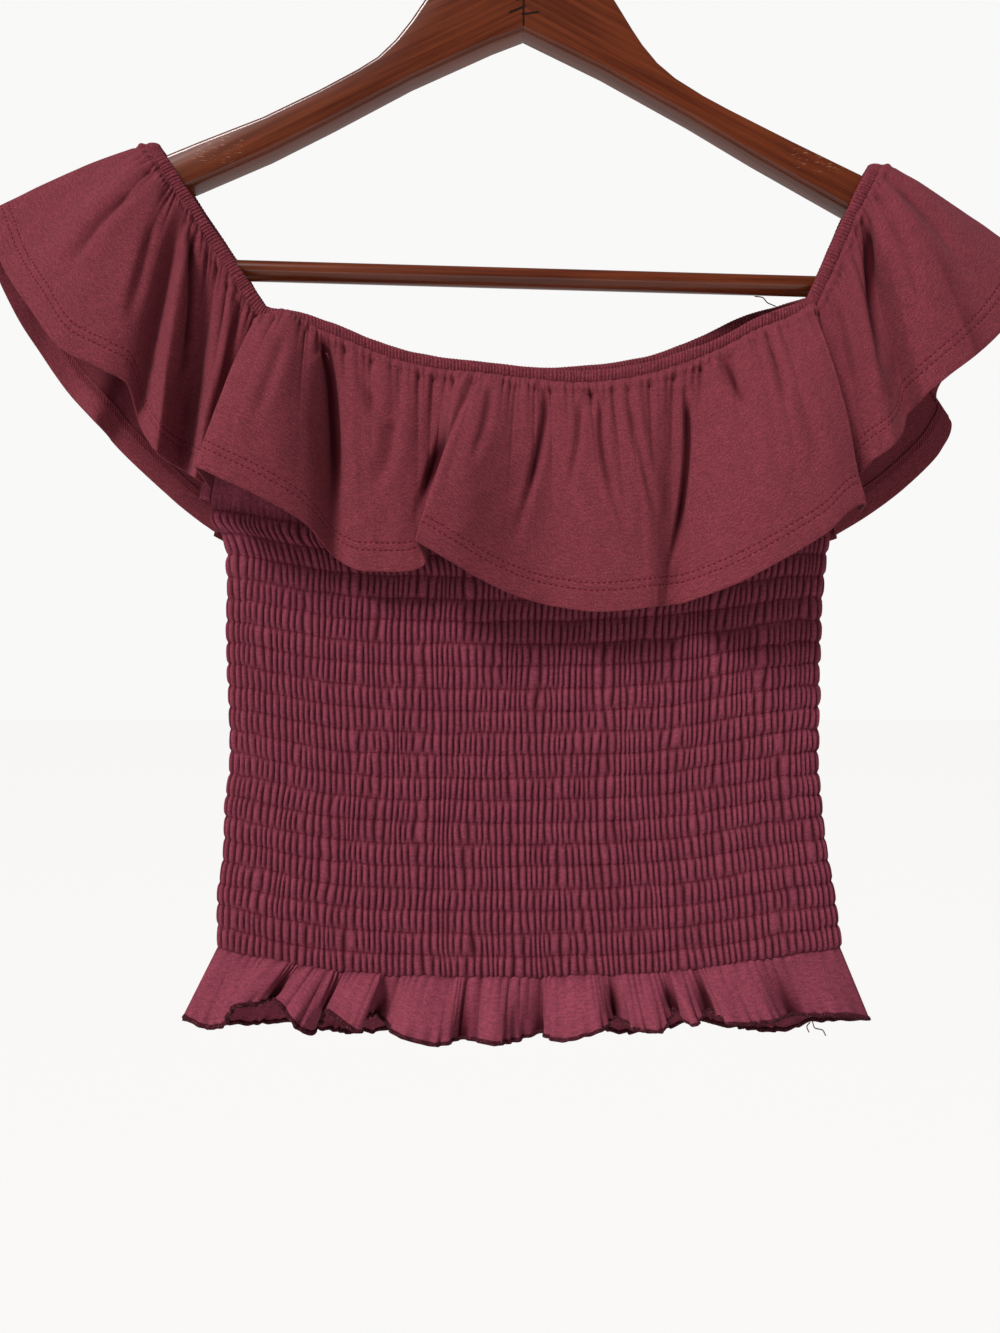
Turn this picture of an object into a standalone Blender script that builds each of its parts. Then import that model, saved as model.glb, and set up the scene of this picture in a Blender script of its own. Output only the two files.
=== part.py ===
"""Off-shoulder jersey top with a shirred bodice and a neck flounce, on a wooden hanger.

Frame: the origin is the hanging point, inside the top of the hook. +Z is up, +X is to the
right of someone who looks at the front, and the front of the garment faces -Y.
Tables are in millimetres. Their across and down columns are measured on the hanger's own
plane, as it is seen from EYE, and out is the true distance in front of that plane.
"""
import math

import bmesh
import bpy
import numpy as np

MM = 0.001
GAP = 0.3

# The point from which across and down are measured
EYE = np.array([-13.5, -453.0, -389.0])

# Cloth
FLOUNCE_WALL = 1.2
LAP = 0.8
LAP_REACH = 0.05
SHIRRED_WALL = 1.3
RUFFLE_WALL = 1.1
BINDING_WIDTH = 5.0
BINDING_WALL = 1.4
CASING_WIDTH = 7.0
CASING_WALL = 3.0
CASING_RIB = 0.45

# Points along a casing's line, and how far its mitred corner reaches
LINE_POINTS = 400
MITRE_REACH = 6.0

# Shirring: rows of elastic stitching with gathers puffed between them
SHIRR_ROWS = 20
GATHERS = 18
PUFF = 1.35
STITCH_RISE = 0.15
BODY_HALF_DEPTH = 10.5
SECTION_POWER = 0.9
YOKE_STEPS = 4

# Hanger
ARM_THICKNESS = 12.0
ARM_ROUNDING = 1.6
BAR_DIAMETER = 9.0
HOOK_WIRE = 4.0
HOOK_RADIUS = 18.0
HANGER_TILT = math.radians(1.6)

# Upper edge of the neck casing: across, down
CASING_FRONT = [
    (-118.5, 227.5), (-103.5, 229.5), (-90.0, 234.0), (-58.5, 246.0), (-41.5, 249.5),
    (-15.5, 252.5), (8.5, 255.0), (22.5, 256.0), (36.0, 255.0), (53.5, 252.0),
    (66.0, 248.0), (76.5, 244.5), (90.0, 238.5), (101.0, 232.5), (111.0, 228.5),
    (124.0, 224.0),
]
CASING_BACK = [
    (-118.5, 227.0), (-90.0, 236.5), (-58.5, 248.5), (-22.5, 253.5), (7.0, 254.5),
    (31.5, 253.0), (54.0, 249.0), (76.5, 240.5), (97.0, 231.0), (112.5, 226.5),
    (124.0, 223.0),
]
# Side casings run from the front corner over the arm to the back corner: across, down, out
CASING_LEFT = [
    (-118.5, 227.5, 9.5), (-130.5, 209.5, 9.3), (-142.5, 191.5, 9.2), (-154.5, 173.5, 9.0),
    (-162.0, 161.5, 8.6), (-166.0, 155.5, 0.0), (-162.0, 160.0, -8.6), (-154.5, 171.5, -9.0),
    (-142.5, 190.0, -9.2), (-130.5, 208.0, -9.3), (-118.5, 227.0, -9.5),
]
CASING_RIGHT = [
    (124.0, 224.0, 9.5), (131.0, 209.0, 9.3), (138.0, 193.0, 9.2), (144.0, 180.0, 9.0),
    (148.5, 171.0, 8.8), (151.5, 164.8, 0.0), (148.5, 169.5, -8.8), (144.0, 178.5, -9.0),
    (138.0, 191.5, -9.2), (131.0, 208.0, -9.3), (124.0, 223.0, -9.5),
]

# Folds of each flounce: place along the casing from 0 to 1, hem across, hem down, hem out,
# and how far the middle of the fold bows outwards
FOLDS_FRONT = [
    (0.000, -144.0, 309.0, 17.0, 1.0), (0.006, -151.0, 298.5, 38.0, 7.0),
    (0.035, -138.5, 304.0, 43.0, 8.0), (0.060, -120.5, 312.5, 41.0, 8.0),
    (0.090, -101.0, 324.5, 33.0, 6.0), (0.125, -87.5, 340.0, 21.0, -1.0),
    (0.170, -75.5, 345.5, 25.0, 3.0), (0.250, -58.5, 346.0, 25.0, 3.0),
    (0.335, -47.0, 342.0, 24.0, -1.0), (0.375, -51.5, 332.0, 46.0, 6.0),
    (0.410, -37.5, 340.0, 44.0, 8.0), (0.440, -22.5, 349.0, 38.0, 6.0),
    (0.475, -7.0, 356.5, 31.0, 4.0), (0.520, 10.5, 361.5, 27.0, 2.0),
    (0.575, 31.0, 364.0, 28.0, 4.0), (0.655, 53.5, 362.0, 29.0, 4.0),
    (0.765, 65.5, 360.5, 23.0, -1.0), (0.820, 89.0, 353.0, 34.0, 5.0),
    (0.875, 112.0, 341.5, 38.0, 8.0), (0.935, 133.0, 329.0, 38.0, 9.0),
    (0.992, 151.0, 315.5, 33.0, 8.0), (1.000, 148.5, 319.0, 17.0, 1.0),
]
FOLDS_BACK = [
    (0.000, -139.0, 330.0, -21.0, 1.0), (0.060, -126.0, 338.0, -34.0, 6.0),
    (0.140, -108.0, 340.0, -38.0, 7.0), (0.220, -88.0, 349.0, -24.0, 0.0),
    (0.300, -68.0, 350.0, -37.0, 6.0), (0.380, -47.0, 356.0, -38.0, 6.0),
    (0.450, -27.0, 363.0, -25.0, 0.0), (0.520, -6.0, 361.0, -37.0, 6.0),
    (0.600, 16.0, 366.0, -35.0, 5.0), (0.670, 40.0, 368.0, -24.0, 0.0),
    (0.740, 62.0, 359.0, -38.0, 7.0), (0.810, 83.0, 355.0, -36.0, 6.0),
    (0.870, 101.0, 350.0, -24.0, 0.0), (0.940, 119.0, 338.0, -35.0, 7.0),
    (1.000, 134.0, 331.0, -24.0, 1.0),
]
FOLDS_LEFT = [
    (0.000, -144.5, 307.0, 14.5, 0.0), (0.108, -150.5, 304.0, 23.0, 3.0),
    (0.197, -156.5, 300.0, 13.0, -2.0), (0.270, -168.0, 292.0, 28.0, 6.0),
    (0.310, -176.5, 277.0, 20.0, 2.0), (0.336, -181.0, 262.0, 27.0, 5.0),
    (0.370, -193.5, 254.5, 31.0, 7.0), (0.400, -210.5, 246.0, 30.0, 7.0),
    (0.430, -225.0, 227.5, 24.0, 6.0), (0.465, -237.0, 209.5, 13.0, 3.0),
    (0.500, -246.0, 185.5, 0.0, 2.5), (0.545, -243.0, 204.0, -13.0, 3.0),
    (0.585, -231.0, 230.5, -24.0, 6.0), (0.625, -219.5, 248.5, -31.0, 7.0),
    (0.670, -207.0, 266.0, -33.0, 6.0), (0.715, -196.0, 278.0, -24.0, 1.0),
    (0.760, -188.0, 287.0, -31.0, 5.0), (0.840, -169.0, 306.0, -30.0, 5.0),
    (0.920, -150.5, 322.0, -25.0, 2.0), (1.000, -140.5, 329.0, -20.0, 0.0),
]
FOLDS_RIGHT = [
    (0.000, 145.5, 305.0, 14.0, 0.0), (0.090, 154.0, 296.0, 22.0, 3.0),
    (0.190, 162.5, 290.0, 25.0, 4.0), (0.265, 168.0, 283.5, 20.0, 1.0),
    (0.310, 170.5, 274.0, 17.0, -1.0), (0.350, 177.5, 267.0, 27.0, 5.0),
    (0.390, 188.0, 258.0, 30.0, 7.0), (0.425, 200.5, 248.5, 28.0, 7.0),
    (0.455, 213.5, 236.0, 22.0, 6.0), (0.480, 222.5, 223.0, 15.0, 6.0),
    (0.500, 227.0, 207.0, 0.0, 2.5), (0.535, 223.0, 217.5, -12.0, 3.0),
    (0.570, 211.5, 228.5, -22.0, 6.0), (0.610, 198.0, 242.0, -29.0, 7.0),
    (0.660, 187.0, 256.5, -31.0, 6.0), (0.710, 182.5, 266.5, -34.0, 5.0),
    (0.760, 189.5, 280.0, -37.0, 6.0), (0.820, 184.5, 291.5, -35.0, 6.0),
    (0.880, 168.5, 308.0, -33.0, 5.0), (0.940, 151.0, 321.0, -27.0, 3.0),
    (1.000, 136.0, 330.0, -23.0, 0.0),
]

# Outline of the shirred body: down, left edge, right edge
BODY_EDGES = [
    (227.0, -117.0, 122.0), (262.0, -128.0, 128.0), (300.0, -140.0, 135.5),
    (314.0, -143.0, 136.5), (322.0, -142.5, 135.5), (331.0, -137.5, 133.5),
    (340.0, -135.5, 132.5), (366.0, -135.5, 130.0), (404.0, -134.5, 129.0),
    (431.0, -134.0, 128.5), (450.0, -136.0, 130.0), (471.0, -137.0, 132.5),
    (491.0, -139.5, 136.0), (514.0, -140.0, 139.0),
]
FIRST_ROW_DOWN = 319.0
LAST_ROW_DOWN = 514.5
UNDERARM_DOWN = 314.0
ROW_SAG = 11.5
NECK_EDGE_DOWN = 237.0
# Half the gap at the side seams, how much wider the armhole opens, and the neck's depth
SEAM_OUT = 0.15
ARMHOLE_OUT = 6.0
YOKE_OUT = 10.6

# Hem ruffle from the left seam to the right: hem across, down, out
RUFFLE_FRONT = [
    (-156.5, 547.0, 0.6), (-146.0, 552.0, 9.0), (-137.0, 550.5, 14.0),
    (-134.0, 543.0, 19.0), (-125.0, 541.5, 17.0), (-116.5, 539.0, 11.0),
    (-113.0, 542.0, 17.0), (-106.5, 550.5, 19.0), (-99.0, 554.0, 15.0),
    (-94.0, 549.0, 10.0), (-91.0, 545.0, 15.0), (-79.0, 554.0, 20.0),
    (-74.5, 547.0, 13.0), (-69.0, 546.0, 10.0), (-58.5, 556.0, 17.0),
    (-42.0, 560.0, 19.0), (-31.0, 556.5, 14.0), (-16.0, 559.5, 20.0),
    (-6.5, 557.5, 14.0), (3.0, 554.0, 11.0), (14.0, 558.0, 18.0),
    (30.0, 554.5, 20.0), (38.5, 546.0, 12.0), (48.0, 553.0, 18.0),
    (59.0, 554.0, 19.0), (64.5, 543.0, 11.0), (74.0, 551.0, 19.0),
    (80.5, 543.0, 12.0), (91.0, 550.5, 19.0), (108.0, 549.5, 17.0),
    (120.0, 546.0, 9.0), (138.0, 546.5, 10.0), (153.0, 548.0, 0.6),
]
RUFFLE_WAVES_BACK = 12
RUFFLE_BACK_DOWN = 551.0

# Arm outlines: across, down, on the front face of the arm, with upright faces for the bar
BAR_FACES = (-207.0, 194.0)
ARM_LEFT = [
    (-3.3, 62.0), (-18.0, 64.0), (-31.0, 69.5), (-40.5, 78.0), (-48.2, 89.1), (-54.0, 97.7),
    (-60.8, 106.2), (-68.9, 113.9), (-77.9, 119.5), (-95.1, 128.7), (-120.4, 140.9),
    (-149.1, 152.1), (-163.4, 158.0), (-198.0, 174.5), (-221.0, 187.5), (-228.5, 199.0),
    (-227.0, 212.0), (-219.5, 218.0), (BAR_FACES[0], 218.0), (BAR_FACES[0], 199.5),
    (-153.7, 172.8), (-118.1, 157.5), (-89.6, 143.1), (-54.0, 124.2), (-17.1, 107.6),
    (-3.3, 102.2),
]
ARM_RIGHT = [
    (-2.7, 62.0), (11.5, 64.5), (23.5, 70.5), (32.0, 79.0), (38.7, 89.1), (46.4, 101.7),
    (50.9, 108.5), (57.6, 116.6), (65.7, 123.5), (78.3, 131.4), (90.0, 137.7), (118.4, 152.1),
    (150.8, 167.9), (186.0, 185.5), (208.0, 198.5), (215.5, 210.0), (214.0, 223.0),
    (206.5, 229.0), (BAR_FACES[1], 229.0), (BAR_FACES[1], 209.5), (143.8, 183.2),
    (101.3, 159.1), (72.5, 141.8), (32.4, 119.5), (-2.7, 102.2),
]
BAR_AT_CENTRE = 214.6


def seen(across, down, out):
    """The point at a true distance out that covers this place on the hanger's plane."""
    on_plane = np.array([across, 0.0, -down])
    return EYE + (on_plane - EYE) * (-EYE[1] - out) / -EYE[1]


def spline(points, count):
    """Points at equal steps of a smooth curve through the given ones."""
    points = np.asarray(points, dtype=float)
    steps = np.linalg.norm(np.diff(points, axis=0), axis=1)
    at = np.concatenate([[0.0], np.cumsum(steps)])
    fine_at = np.linspace(0.0, at[-1], 40 * len(points))
    fine = smooth(at, points, fine_at)
    length = np.concatenate([[0.0], np.cumsum(np.linalg.norm(np.diff(fine, axis=0), axis=1))])
    wanted = np.linspace(0.0, length[-1], count)
    return np.stack([np.interp(wanted, length, column) for column in fine.T], axis=1)


def smooth(at, values, wanted):
    """Cubic curve through values at the places at, with slopes that never overshoot."""
    at = np.asarray(at, dtype=float)
    values = np.asarray(values, dtype=float)
    flat = values.ndim == 1
    if flat:
        values = values[:, None]
    step = np.diff(at)[:, None]
    slope = np.diff(values, axis=0) / step
    tangent = np.empty_like(values)
    tangent[0] = slope[0]
    tangent[-1] = slope[-1]
    before = slope[:-1]
    after = slope[1:]
    same_way = before * after > 0.0
    blend = 2.0 * before * after / np.where(same_way, before + after, 1.0)
    tangent[1:-1] = np.where(same_way, blend, 0.0)
    wanted = np.atleast_1d(wanted)
    span = np.clip(np.searchsorted(at, wanted, side="right") - 1, 0, len(step) - 1)
    width = step[span]
    t = ((wanted - at[span])[:, None]) / width
    result = ((2 * t**3 - 3 * t**2 + 1) * values[span] + (t**3 - 2 * t**2 + t) * width * tangent[span]
              + (3 * t**2 - 2 * t**3) * values[span + 1] + (t**3 - t**2) * width * tangent[span + 1])
    return result[:, 0] if flat else result


def normals(grid):
    """Unit normals of a grid of points, along x cross y of its two directions."""
    along = np.gradient(grid, axis=0)
    around = np.gradient(grid, axis=1)
    normal = np.cross(along, around)
    return normal / np.linalg.norm(normal, axis=2, keepdims=True)


def add_object(name, vertices, faces, material):
    mesh = bpy.data.meshes.new(name)
    mesh.from_pydata([tuple(v) for v in np.asarray(vertices) * MM], [], faces)
    mesh.validate()
    piece = bpy.data.objects.new(name, mesh)
    parts.objects.link(piece)
    mesh.materials.append(material)
    mesh.shade_smooth()
    mesh.set_sharp_from_angle(angle=math.radians(50))
    return piece


def point_outwards(piece):
    work = bmesh.new()
    work.from_mesh(piece.data)
    bmesh.ops.recalc_face_normals(work, faces=work.faces)
    work.to_mesh(piece.data)
    work.free()


def sheet(name, grid, wall, material):
    """A wall of even thickness about a grid of points, from an open sheet and Solidify."""
    rows, columns = grid.shape[:2]
    faces = []
    for row in range(rows - 1):
        for column in range(columns - 1):
            corner = row * columns + column
            faces.append((corner, corner + 1, corner + columns + 1, corner + columns))
    piece = add_object(name, grid.reshape(-1, 3), faces, material)
    thickness = piece.modifiers.new("wall", "SOLIDIFY")
    thickness.thickness = wall * MM
    thickness.offset = 0.0
    return piece


def border(rows, columns, start):
    """Indices round the edge of a grid whose first vertex is start, and how far round each is."""
    ring = []
    for column in range(columns - 1):
        ring.append((start + column, column / (columns - 1)))
    for row in range(rows - 1):
        ring.append((start + row * columns + columns - 1, 1.0 + row / (rows - 1)))
    for column in range(columns - 1, 0, -1):
        ring.append((start + (rows - 1) * columns + column, 3.0 - column / (columns - 1)))
    for row in range(rows - 1, 0, -1):
        ring.append((start + row * columns, 4.0 - row / (rows - 1)))
    return ring


def raised_wall(name, outer, inner, material):
    """A wall with a detailed outer grid over a plainer inner grid, joined round the edge."""
    vertices = np.concatenate([outer.reshape(-1, 3), inner.reshape(-1, 3)])
    faces = []
    sizes = (outer.shape[:2], inner.shape[:2])
    starts = (0, outer.shape[0] * outer.shape[1])
    for side in (0, 1):
        rows, columns = sizes[side]
        for row in range(rows - 1):
            for column in range(columns - 1):
                corner = starts[side] + row * columns + column
                quad = (corner, corner + 1, corner + columns + 1, corner + columns)
                faces.append(quad if side == 0 else quad[::-1])
    fine = border(*sizes[0], starts[0])
    plain = border(*sizes[1], starts[1])
    i = 0
    j = 0
    while i < len(fine) or j < len(plain):
        next_fine = fine[i + 1][1] if i + 1 < len(fine) else 4.0
        next_plain = plain[j + 1][1] if j + 1 < len(plain) else 4.0
        here = fine[i % len(fine)][0]
        there = plain[j % len(plain)][0]
        if j >= len(plain) or (i < len(fine) and next_fine <= next_plain):
            faces.append((here, there, fine[(i + 1) % len(fine)][0]))
            i += 1
        else:
            faces.append((here, there, plain[(j + 1) % len(plain)][0]))
            j += 1
    piece = add_object(name, vertices, faces, material)
    point_outwards(piece)
    return piece


def strip(name, path, across, width, wall, rib, ribs, material):
    """A flat tube of six sides along a path, its width along across, with raised ribs."""
    tangent = np.gradient(path, axis=0)
    tangent /= np.linalg.norm(tangent, axis=1, keepdims=True)
    across = across / np.linalg.norm(across, axis=1, keepdims=True)
    out = np.cross(tangent, across)
    out /= np.linalg.norm(out, axis=1, keepdims=True)
    count = len(path)
    swell = rib * 0.5 * (1.0 - np.cos(2 * math.pi * ribs * np.arange(count) / (count - 1)))
    section = ((-0.5, 0.0), (-0.34, -0.5), (0.34, -0.5), (0.5, 0.0), (0.34, 0.5), (-0.34, 0.5))
    rings = []
    for a, b in section:
        deep = (wall - 2 * rib + 2 * swell) * b
        rings.append(path + across * (width * a) + out * deep[:, None])
    vertices = np.stack(rings, axis=1)
    sides = len(section)
    faces = []
    for ring in range(count - 1):
        for side in range(sides):
            here = ring * sides + side
            over = ring * sides + (side + 1) % sides
            faces.append((here, over, over + sides, here + sides))
    faces.append(tuple(range(sides)))
    faces.append(tuple((count - 1) * sides + side for side in reversed(range(sides))))
    piece = add_object(name, vertices.reshape(-1, 3), faces, material)
    point_outwards(piece)
    return piece


def material(name, colour, roughness, metallic=0.0):
    finish = bpy.data.materials.new(name)
    finish.use_nodes = True
    shader = finish.node_tree.nodes["Principled BSDF"]
    shader.inputs["Base Color"].default_value = (*colour, 1.0)
    shader.inputs["Roughness"].default_value = roughness
    shader.inputs["Metallic"].default_value = metallic
    finish.diffuse_color = (*colour, 1.0)
    return finish


def casing_lines():
    """Middle line of each neck casing and its direction towards the hem, mitred at the corners."""
    tops = {}
    downs = {}
    for side, table, depth in (("front", CASING_FRONT, 1.0), ("back", CASING_BACK, -1.0)):
        middle = np.sin(math.pi * np.linspace(0, 1, len(table)))
        tops[side] = spline([seen(*place, depth * (9.5 + 1.5 * deep))
                             for place, deep in zip(table, middle)], LINE_POINTS)
        downs[side] = np.tile([0.0, 0.0, -1.0], (LINE_POINTS, 1))
    for side, table, away in (("left", CASING_LEFT, -1.0), ("right", CASING_RIGHT, 1.0)):
        top = spline([seen(*row) for row in table], LINE_POINTS)
        tangent = np.gradient(top, axis=0)
        level = np.clip(1.0 - (top[:, 1] / 10.0) ** 2, 0.0, 1.0)
        facing = np.stack([np.zeros(LINE_POINTS), top[:, 1], 4.0 * np.sqrt(level)], axis=1)
        down = np.cross(tangent, facing)
        down /= np.linalg.norm(down, axis=1, keepdims=True)
        tops[side] = top
        downs[side] = down * np.sign(down[:, :1] * away)
    corners = {"front": ("left", 0, "right", 0), "back": ("left", -1, "right", -1),
               "left": ("front", 0, "back", 0), "right": ("front", -1, "back", -1)}
    lines = {}
    for side, top in tops.items():
        start, start_end, finish, finish_end = corners[side]
        far = np.concatenate([[0.0], np.cumsum(np.linalg.norm(np.diff(top, axis=0), axis=1))])
        near_start = 0.5 * np.exp(-far / MITRE_REACH)[:, None]
        near_finish = 0.5 * np.exp(-(far[-1] - far) / MITRE_REACH)[:, None]
        down = (downs[side] * (1 - near_start - near_finish) + downs[start][start_end] * near_start
                + downs[finish][finish_end] * near_finish)
        down /= np.linalg.norm(down, axis=1, keepdims=True)
        lines[side] = (top + down * CASING_WIDTH / 2, down)
    return lines


def part_of(line, start, end, count):
    """Equal steps between two places, in millimetres from the ends, along a dense line."""
    middle, down = line
    length = np.concatenate([[0.0], np.cumsum(np.linalg.norm(np.diff(middle, axis=0), axis=1))])
    wanted = np.linspace(start, length[-1] - end, count)
    pick = lambda data: np.stack([np.interp(wanted, length, column) for column in data.T], axis=1)
    return pick(middle), pick(down)


def flounce(name, line, folds, outward, lap, columns, rows, cloth):
    """A gathered sheet from the casing's lower edge to a folded hem, lapped over or under."""
    folds = np.array(folds)
    places = np.linspace(0.0, 1.0, columns)
    places = np.unique(np.concatenate([folds[:, 0], places]))
    close = np.concatenate([[True], np.diff(places) > 0.35 / columns])
    close |= np.isin(places, folds[:, 0])
    places = places[close]
    middle, down = part_of(line, 0.4, 0.4, LINE_POINTS)
    at = np.linspace(0.0, 1.0, LINE_POINTS)
    neck = np.stack([np.interp(places, at, column) for column in middle.T], axis=1)
    drop = np.stack([np.interp(places, at, column) for column in down.T], axis=1)
    hems = np.array([seen(a, d, o) for a, d, o in folds[:, 1:4]])
    hem = smooth(folds[:, 0], hems, places)
    bow = smooth(folds[:, 0], folds[:, 4], places)
    facing = outward(places)
    from_end = np.minimum(places, 1.0 - places)
    proud = LAP * np.where(from_end < LAP_REACH, lap + (1 - lap) * from_end / LAP_REACH, 1.0)
    top = neck + drop * (CASING_WIDTH / 2 + 2 * GAP) + facing * proud[:, None]
    grid = []
    for v in np.linspace(0.0, 1.0, rows):
        spread = facing * (bow * math.sin(math.pi * v ** 0.8))[:, None]
        grid.append(top + (hem - top) * v + spread)
    return sheet(name, np.array(grid), FLOUNCE_WALL, cloth)


def body_section(u, depth_sign, edge_out, left, right, half_depth):
    """A point of the flattened tube's section at u from -1, the left seam, to 1."""
    angle = u * math.pi / 2
    across = np.sign(u) * np.abs(np.sin(angle)) ** SECTION_POWER
    round_off = np.clip(1.0 - np.abs(np.sin(angle)) ** 3.2, 0.0, 1.0) ** (1 / 2.4)
    x = (left + right) / 2 + across * (right - left) / 2
    y = -depth_sign * (edge_out + (half_depth - edge_out) * round_off)
    return x, y


def row_down(u, row):
    """How far down the stitched row lies: all rows sag together in the middle."""
    side = FIRST_ROW_DOWN + (LAST_ROW_DOWN - FIRST_ROW_DOWN) * row / SHIRR_ROWS
    middle = 1.0 / (1.0 + math.exp((abs(u + 0.06) - 0.48) * 9.0))
    return side + ROW_SAG * middle


def panel_point(u, level, depth_sign, neck_line, inset):
    """A point of a bodice panel: level 0 is the neck, YOKE_STEPS the first stitched row."""
    edges = np.array(BODY_EDGES)
    yoke = min(level / YOKE_STEPS, 1.0)
    row = max(level - YOKE_STEPS, 0.0)
    side_down = NECK_EDGE_DOWN + (row_down(1.0, row) - NECK_EDGE_DOWN) * yoke
    left, right = (smooth(edges[:, 0], edges[:, side], side_down)[0] for side in (1, 2))
    open_side = max(0.0, (UNDERARM_DOWN - side_down) / (UNDERARM_DOWN - NECK_EDGE_DOWN))
    edge_out = SEAM_OUT + ARMHOLE_OUT * open_side ** 0.7
    depth = YOKE_OUT + (BODY_HALF_DEPTH - YOKE_OUT) * yoke
    x, y = body_section(u, depth_sign, edge_out, left + inset, right - inset, depth - inset)
    neck_z = np.interp(x, neck_line[:, 0], neck_line[:, 2]) - CASING_WIDTH / 2 - GAP
    return np.array([x, y, neck_z + (-row_down(u, row) - neck_z) * yoke])


def bodice_panel(name, depth_sign, line, cloth):
    """One shirred panel: a plain yoke under the flounce, then puffed rows down to the hem."""
    neck_line = line[0]

    def surface(us, levels, inset):
        return np.array([[panel_point(u, level, depth_sign, neck_line, inset) for u in us]
                         for level in levels])

    us = np.linspace(-1, 1, 2 * GATHERS + 1)
    levels = [0.0, YOKE_STEPS / 2] + [YOKE_STEPS + step / 2 for step in range(2 * SHIRR_ROWS + 1)]
    outer = surface(us, levels, 0.0)
    facing = normals(outer) * depth_sign
    for i, level in enumerate(levels):
        if level < YOKE_STEPS:
            continue
        puffed = (2 * (level - YOKE_STEPS)) % 2
        for j in range(len(us)):
            ridge = (j + i // 2) % 2
            uneven = 0.85 + 0.15 * math.sin(12.9 * j + 7.1 * i)
            outer[i, j] += facing[i, j] * (STITCH_RISE + PUFF * puffed * (0.35 + 0.65 * ridge * uneven))
    outer[:, (0, -1), 1] = -depth_sign * np.maximum(np.abs(outer[:, (0, -1), 1]), SEAM_OUT)
    plain_levels = [0.0, YOKE_STEPS / 2] + [YOKE_STEPS + row for row in range(0, SHIRR_ROWS + 1, 4)]
    inner = surface(np.linspace(-1, 1, 15), plain_levels, SHIRRED_WALL)
    raised_wall(name, outer, inner, cloth)


def hem_ruffle(name, depth_sign, folds, cloth):
    """The frill below the last stitched row, each fold straight below its own gather."""
    hems = np.array([seen(*row) for row in folds])
    at = np.arange(0.0, len(hems) - 0.5, 0.5)
    hem = smooth(np.arange(len(hems)), hems, at)
    left, right = BODY_EDGES[-1][1:]
    middle = (hem[0, 0] + hem[-1, 0]) / 2
    reach = (hem[-1, 0] - hem[0, 0]) / 2
    top = []
    for x in hem[:, 0]:
        share = np.clip((x - middle) / reach, -1.0, 1.0)
        u = np.sign(share) * np.arcsin(np.abs(share) ** (1 / SECTION_POWER)) * 2 / math.pi
        x, y = body_section(u, depth_sign, 0.75, left + 0.4, right - 0.4, BODY_HALF_DEPTH - 0.2)
        top.append((x, y, -row_down(u, SHIRR_ROWS) - GAP - 0.5))
    top = np.array(top)
    bow = np.sin(math.pi * at / at[-1])
    grid = []
    for v in (0.0, 0.5, 1.0):
        lift = np.array([0.0, -depth_sign * 1.5 * math.sin(math.pi * v), 0.0])
        grid.append(top + (hem - top) * v ** 1.15 + lift * bow[:, None])
    return sheet(name, np.array(grid), RUFFLE_WALL, cloth)


def armhole_binding(name, side, cloth):
    """The bound edge from the front corner, under the arm, to the back corner."""
    beside = np.array([side * (BINDING_WIDTH / 2 + 2 * GAP), 0.0, 0.0])
    path = []
    for depth_sign, half in ((1.0, "front"), (-1.0, "back")):
        levels = np.linspace(0.45, 0.93 * YOKE_STEPS, 6)
        run = [panel_point(side, level, depth_sign, casings[half][0], 0.0) + beside for level in levels]
        path += run if depth_sign > 0 else run[::-1]
    path = spline(path, 25)
    wide = np.tile([side, 0.0, 0.25], (len(path), 1))
    strip(name, path, wide, BINDING_WIDTH, BINDING_WALL, 0.0, 1, cloth)


def hanger_arm(name, outline, wood):
    """A flat board cut to an outline, its edges rounded."""
    curve = bpy.data.curves.new(name, "CURVE")
    curve.dimensions = "2D"
    curve.fill_mode = "BOTH"
    curve.extrude = ARM_THICKNESS / 2 * MM
    edge = curve.splines.new("POLY")
    points = [seen(a, d, ARM_THICKNESS / 2) for a, d in outline]
    edge.points.add(len(points) - 1)
    for target, point in zip(edge.points, points):
        target.co = (point[0] * MM, point[2] * MM, 0.0, 1.0)
    edge.use_cyclic_u = True
    board = bpy.data.objects.new(name, curve)
    board.rotation_euler = (math.pi / 2, 0.0, 0.0)
    parts.objects.link(board)
    curve.materials.append(wood)
    weld = board.modifiers.new("weld", "WELD")
    weld.merge_threshold = 0.00001
    rounding = board.modifiers.new("rounding", "BEVEL")
    rounding.width = ARM_ROUNDING * MM
    rounding.segments = 2
    rounding.limit_method = "ANGLE"
    rounding.angle_limit = math.radians(50)
    return board


def rod(name, path, diameter, finish):
    """A round rod or wire along a path."""
    curve = bpy.data.curves.new(name, "CURVE")
    curve.dimensions = "3D"
    curve.bevel_depth = diameter / 2 * MM
    curve.bevel_resolution = 2
    curve.use_fill_caps = True
    line = curve.splines.new("POLY")
    line.points.add(len(path) - 1)
    for target, point in zip(line.points, path):
        target.co = (*(np.asarray(point) * MM), 1.0)
    wire = bpy.data.objects.new(name, curve)
    parts.objects.link(wire)
    curve.materials.append(finish)
    return wire


for old in list(bpy.data.objects):
    bpy.data.objects.remove(old, do_unlink=True)
parts = bpy.data.collections.new("off_shoulder_top")
bpy.context.scene.collection.children.link(parts)

jersey = material("wine_jersey", (0.150, 0.032, 0.050), 0.9)
lacquer = material("red_brown_lacquer", (0.110, 0.020, 0.008), 0.25)
steel = material("polished_steel", (0.62, 0.62, 0.64), 0.22, 1.0)

# Neck casing
casings = casing_lines()
for side, count, ribs in (("front", 49, 24), ("back", 49, 24), ("left", 41, 20), ("right", 37, 18)):
    path, toward_hem = part_of(casings[side], GAP / 2, GAP / 2, count)
    strip(f"neck_casing_{side}", path, toward_hem, CASING_WIDTH, CASING_WALL, CASING_RIB, ribs, jersey)

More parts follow.
